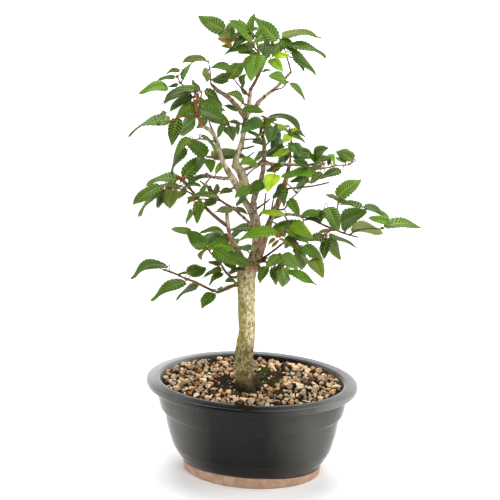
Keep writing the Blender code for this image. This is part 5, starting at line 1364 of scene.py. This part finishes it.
# Up to the first diameter a twig's bark is young and brown, from the second on it is old
BROWN_TWIG = (4.0, 5.0)
TWIG_DIAMETERS = (1.9, 1.15)
THICK_TWIGS = {"spray_lowest": (2.7, 1.9), "spray_low_left": (2.5, 1.6), "spray_left_shoot": (2.3, 1.3)}
# Places on each stretch of a twig where a stalk may leave it, and the first of them beyond its stub
TWIG_SAMPLES = 12
TWIG_FIRST_SAMPLE = 7
BUD_LENGTH = 3.8
BUD_WIDTH = 1.6
BUD_ROUNDNESS = 0.3
BUD_PAPERY = (0.5, 1.0)
BUD_SHARES = (0.6, 1.0)
BUD_UPWARD = 0.6
BUD_SPREAD = 0.4
BUDS_AT_A_LEAF = (1, 1, 1, 2, 2, 3)

leaf_finish, tree = new_finish("hornbeam_leaf")
side = add_node(tree, "SeparateColor", {0: painted(tree, "side")}).outputs
# Along the blade one unit is one vein. Across it, nought is the midrib and one is the edge
flat = add_node(tree, "SeparateXYZ", {0: add_node(tree, "UVMap", uv_map="blade").outputs["UV"]}).outputs
side_veins = ranged(tree, worked_out(tree, "PINGPONG", flat["X"], 0.5), 0.06, 0.24, 1.0, 0.0)
midrib = ranged(tree, worked_out(tree, "ABSOLUTE", flat["Y"]), 0.04, 0.12, 1.0, 0.0)
veins = worked_out(tree, "MAXIMUM", side_veins, midrib)
patches = clouds(tree, {"First": (0.8, 0.84, 0.78, 1), "Second": (1.16, 1.1, 1.12, 1), "Scale": 90.0,
                        "Low": 0.36, "High": 0.66})
# A leaf's tone: its own colour, with painted shade on the dark leaves, painted light shining through on the
# bright, fresh and yellow ones, and a painted sheen on the blue ones
toned = mixed(tree, 1.0, painted(tree, "tone"), patches["Colour"], blend_type="MULTIPLY")
paler = mixed(tree, 0.36, toned, colour(150, 160, 112))
green = mixed(tree, side["Red"], toned, paler)
# The veins are lighter: partly their own paler colour, partly a painted glint along the pleats
vein_and_glint_tone = mixed(tree, 0.6, green, colour(178, 200, 82))
veined = mixed(tree, worked_out(tree, "MULTIPLY", veins, side["Green"]), green, vein_and_glint_tone)
netted = clouds(tree, {"Scale": 1300.0})
feed(tree, {"Base Color": veined, "Roughness": ranged(tree, side["Red"], 0.0, 1.0, 0.37, 0.65),
            "Specular IOR Level": 0.24, "Normal": bumped(tree, netted["Height"], 0.12, 0.6)})


class Leaf:
    """One leaf: where its stalk leaves the twig, its blade's base, tip and width, and the way it faces."""

    def __init__(self, twig, entry, shift, least=BLADE_LEAST_LENGTH):
        base_across, base_down, tip_across, tip_down, seen_width, lean, self.arch, self.tone = entry
        seen_length = math.hypot(tip_across - base_across, tip_down - base_down)
        times, more = BLADE_LENGTH_FOR_WIDTH
        length = max(BLADE_LENGTH_FOR_SEEN * seen_length, least)
        if least == BLADE_LEAST_LENGTH:
            length = max(length, times * seen_width + more)
        reach = math.sqrt(length ** 2 - seen_length ** 2)
        underside = lean == UNDERSIDE_SEEN
        toward = 1 if underside else lean
        chosen = None
        for at in twig:
            root = seen(*at)
            base = seen(base_across, base_down, at[2] + shift[0])
            tip = seen(tip_across, tip_down, at[2] + toward * reach + shift[1])
            stalk = base - root
            bend = 1 - stalk.normalized().dot((tip - base).normalized())
            cost = stalk.length + STALK_BEND_COST * bend
            if chosen is None or cost < chosen[0]:
                chosen = (cost, root, base, tip)
        self.root, self.base, self.tip = chosen[1:]
        self.axis = (self.tip - self.base).normalized()
        if (self.base - self.root).length < STALK_LEAST:
            self.base += self.axis * (STALK_LEAST - (self.base - self.root).length)
        self.length = (self.tip - self.base).length
        self.width = max(BLADE_WIDTH_SHARE * self.length, seen_width / SEEN_WIDTH_MOST)
        toward_eye = (seen(base_across, base_down, -VIEW_DISTANCE / 2) - self.base).normalized()
        facing = (toward_eye - self.axis * toward_eye.dot(self.axis)).normalized()
        aside = self.axis.cross(facing)
        turn = math.acos(min(1.0, seen_width / self.width))
        face = -facing if underside else facing
        self.normal = max((face * math.cos(turn) + aside * math.sin(turn) * sign for sign in (-1, 1)),
                          key=lambda n: n.z)

    def station(self, share):
        """The midrib's place, the side and the upward way at this share of the blade's length."""
        rise = self.arch * self.length * 4 * share * (1 - share)
        slope = (self.axis + self.normal * (self.arch * 4 * (1 - 2 * share))).normalized()
        upright = (self.normal - slope * self.normal.dot(slope)).normalized()
        middle = self.base + self.axis * self.length * share + self.normal * rise
        return middle, slope.cross(upright), upright

    def half_width(self, share):
        rising, falling, peak = BLADE_ROUNDNESS
        share = max(0.0, min(1.0, share))
        return self.width / 2 * share ** rising * (1 - share) ** falling / peak

    def places(self):
        """Points all over the blade, to tell how far it is from others."""
        found = []
        for i in range(1, CLEARANCE_STATIONS + 1):
            share = i / CLEARANCE_STATIONS
            middle, aside, _ = self.station(share)
            half = self.half_width(share)
            found += [middle + aside * half * part for part in CLEARANCE_PARTS]
        return found


def add_blade(whole, leaf, shade, draw):
    """A blade: a grid whose rows are swept forward along the side veins, laid on the leaf's own curve, then
    given a thickness."""
    veins = max(VEINS_LEAST, min(VEINS_MOST, round(leaf.length / VEIN_SPACING)))
    rows = veins * ROWS_PER_VEIN
    half_columns = len(ACROSS_STEPS) - 1
    bm = bmesh.new()
    tones = bm.verts.layers.float_color.new("tone")
    sides = bm.verts.layers.float_color.new("side")
    out = bm.verts.layers.float_vector.new("out")
    blade_map = bm.loops.layers.uv.new("blade")
    bmesh.ops.create_grid(bm, x_segments=rows, y_segments=2 * half_columns, size=0.5)
    phase = draw.uniform(0, math.tau)
    wave = draw.uniform(*WAVE_SHARES) * WAVE_HEIGHT * leaf.length
    vein_and_glint_strength = draw.uniform(*VEIN_AND_GLINT_STRENGTH)
    flat = {}
    for vert in bm.verts:
        row = round((vert.co.x + 0.5) * rows)
        column = round(vert.co.y * 2 * half_columns)
        step = row % ROWS_PER_VEIN
        part = ACROSS_STEPS[abs(column)]
        at_edge = part == 1.0
        flat[vert] = (row / ROWS_PER_VEIN, math.copysign(part, column))
        start = row / rows
        between = 0 < start < 1
        swept = start + VEIN_SWEEP * math.sin(math.pi * start) ** VEIN_SWEEP_POWER if between else start
        lead = TOOTH_LEAD if at_edge and step == 0 and between else 0.0
        place, aside, upright = leaf.station(min(1.0, start + (swept - start) * part + lead))
        half = leaf.half_width(swept) * part * (TOOTH_STEPS[step] if at_edge else 1.0)
        rise = half * (FOLD - FOLD_BACK * part)
        if between:
            pleat_at = min(PLEAT_PART_MOST, part + PLEAT_PART_ADDED)
            pleat = PLEAT_HEIGHT * PLEAT_STEPS[step] * math.sin(math.pi * pleat_at)
            inner = min(1.0, leaf.half_width(swept) / PLEAT_FULL_HALF_WIDTH)
            rise += pleat * (inner if 0 < part < 1.0 else PLEAT_AT_ENDS)
        if column == 0:
            rise -= MIDRIB_DEPTH * min(1.0, MIDRIB_FADE * (1 - start))
        side_turn = WAVE_SIDE_TURN if column > 0 else 0.0
        rise += wave * part * part * math.sin(phase + WAVE_TURN * start + side_turn)
        vert.co = place + aside * math.copysign(half, column) + upright * rise
        vert[out] = upright
        vert[tones] = shade
        vert[sides] = (0.0, vein_and_glint_strength, 0.0, 1.0)
    for face in bm.faces:
        for loop in face.loops:
            loop[blade_map].uv = flat[loop.vert]
    grown = bmesh.ops.extrude_face_region(bm, geom=bm.faces[:])["geom"]
    for item in grown:
        if isinstance(item, bmesh.types.BMVert):
            item.co -= item[out] * BLADE_THICKNESS
            item[sides] = (1.0, vein_and_glint_strength, 0.0, 1.0)
    bmesh.ops.remove_doubles(bm, verts=bm.verts, dist=0.02)
    bmesh.ops.recalc_face_normals(bm, faces=bm.faces)
    bm.verts.layers.float_vector.remove(out)
    gathered(whole, bm)


def fit_leaf(samples, entry, corners):
    """The leaf at the shift at which the frame's own leaf has its base and its tip."""
    best = None
    for shift in LEAF_SHIFTS:
        leaf = Leaf(samples, entry, shift)
        miss = corners.find(leaf.tip * MM)[2] + corners.find(leaf.base * MM)[2]
        if best is None or miss < best[0] - SHIFT_TOLERANCE * MM:
            best = (miss, leaf)
    return best[1]


def clear_leaf(samples, entry, standing, shifts=LEAF_SHIFTS):
    """A leaf that the frame leaves out, at the first shift at which it keeps clear of those that stand, or
    at the roomiest."""
    seen_width = entry[4]
    least = BLADE_LEAST_LENGTH if seen_width > SMALL_BLADE_WIDTH else SMALL_BLADE_LEAST_LENGTH
    best = None
    for shift in shifts:
        leaf = Leaf(samples, entry, shift, least)
        room = min(standing.find(place)[2] for place in leaf.places())
        if best is None or room > best[0]:
            best = (room, leaf)
        if room > LEAF_APART:
            break
    return best[1]


def near_tree(places):
    """A search tree of these points."""
    found = KDTree(len(places))
    for number, place in enumerate(places):
        found.insert(place, number)
    found.balance()
    return found


def far_twin(entry):
    """A leaf that stands behind this one and a little inside its outline, and turns its upper side away."""
    *ends, seen_width, _, arch, tone = entry
    middles = ((ends[0] + ends[2]) / 2, (ends[1] + ends[3]) / 2) * 2
    drawn_in = [middle + (end - middle) * FAR_TWIN_SHARE for middle, end in zip(middles, ends)]
    return (*drawn_in, seen_width * FAR_TWIN_SHARE, UNDERSIDE_SEEN, arch, tone)


box_low, box_high = (Vector(corner) / MM for corner in cad_box)


def inside_frame(leaf):
    return all(least <= value <= most for place in leaf.places() + [leaf.tip]
               for value, least, most in zip(place, box_low, box_high))


def kept_inside(bm):
    """Draws in what would stand out of the frame's box by a fraction of a millimetre."""
    for vert in bm.verts:
        vert.co = Vector(min(max(value, least), most)
                         for value, least, most in zip(vert.co, box_low, box_high))


def twig_samples(points):
    """Places along a twig, as across, down and depth, from a little beyond its stub on."""
    found = []
    for start, end in zip(points, points[1:]):
        for i in range(TWIG_SAMPLES):
            found.append(tuple(a + (b - a) * i / TWIG_SAMPLES for a, b in zip(start, end)))
    return found[TWIG_FIRST_SAMPLE:]


def add_bud(whole, place, way, length, draw):
    """A bud: a small pointed egg, more or less papery."""
    layer = whole.verts.layers.float_color["age"]
    bm = bmesh.new()
    bmesh.ops.create_uvsphere(bm, u_segments=7, v_segments=5, radius=0.5)
    for vert in bm.verts:
        x, y, z = vert.co
        wide = BUD_WIDTH * (0.5 - z) ** BUD_ROUNDNESS
        vert.co = Vector((x * wide, y * wide, (z + 0.5) * length))
    turned = Vector((0, 0, 1)).rotation_difference(way).to_matrix()
    bmesh.ops.rotate(bm, matrix=turned, cent=(0, 0, 0), verts=bm.verts)
    bmesh.ops.translate(bm, vec=place, verts=bm.verts)
    for vert in gathered(whole, bm):
        vert[layer] = (1.0, 0.0, draw.uniform(*BUD_PAPERY), 1.0)


draw = random.Random(LEAF_SEED)
leaves_of = {}
for name, points, entries, _ in SPRAYS:
    samples = twig_samples(points)
    corners = near_tree([vert.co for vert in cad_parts[name].data.vertices])
    leaves_of[name] = [fit_leaf(samples, entry, corners) for entry in entries]
standing = [place for leaves in leaves_of.values() for leaf in leaves for place in leaf.places()]
for name, points, _, entries in SPRAYS:
    for entry in entries:
        leaf = clear_leaf(twig_samples(points), entry, near_tree(standing))
        standing += leaf.places()
        leaves_of[name].append(leaf)
for name, points, entries, _ in SPRAYS:
    for entry in entries[::2]:
        seen_width, lean = entry[4:6]
        if seen_width >= FAR_TWIN_LEAST_WIDTH and lean != UNDERSIDE_SEEN:
            leaf = clear_leaf(twig_samples(points), far_twin(entry), near_tree(standing), FAR_SHIFTS)
            if inside_frame(leaf):
                standing += leaf.places()
                leaves_of[name].append(leaf)
for name, points, _, _ in SPRAYS:
    blades = bmesh.new()
    blades.verts.layers.float_color.new("tone")
    blades.verts.layers.float_color.new("side")
    blades.loops.layers.uv.new("blade")
    twig = bmesh.new()
    twig.verts.layers.float_color.new("age")
    first, last = THICK_TWIGS.get(name, TWIG_DIAMETERS)
    line = [(seen(*at), first + (last - first) * i / (len(points) - 1)) for i, at in enumerate(points)]
    rough_limb(twig, line, TWIG_SIDES, *BROWN_TWIG)
    add_bud(twig, line[-1][0], (line[-1][0] - line[-2][0]).normalized(), BUD_LENGTH, draw)
    for leaf in leaves_of[name]:
        light = draw.uniform(*LEAF_LIGHT)
        add_blade(blades, leaf, colour(*(value * light for value in LEAF_TONES[leaf.tone])), draw)
        outward = leaf.base - leaf.root
        bend = leaf.base - leaf.axis * min(outward.length * STALK_BEND_SHARE, STALK_BEND_MOST)
        into = leaf.station(STALK_INTO_BLADE)[0] - leaf.normal * STALK_UNDER_BLADE
        stalk = [(place, STALK_DIAMETER * part)
                 for place, part in zip((leaf.root, bend, leaf.base, into), STALK_TAPER)]
        rough_limb(twig, stalk, STALK_SIDES, *BROWN_TWIG, draw.uniform(*STALK_GREEN))
        for _ in range(draw.choice(BUDS_AT_A_LEAF)):
            aside = any_way(draw, BUD_SPREAD)
            way = (outward.normalized() + above * BUD_UPWARD + aside).normalized()
            add_bud(twig, leaf.root, way, BUD_LENGTH * draw.uniform(*BUD_SHARES), draw)
    kept_inside(blades)
    kept_inside(twig)
    spray = new_piece("leaves_" + name.removeprefix("spray_"), blades, leaf_finish)
    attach(spray, "root")
    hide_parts(name)
    twig = new_piece("twig_" + name.removeprefix("spray_"), twig, twig_bark)
    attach(twig, "root")
    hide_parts(name)
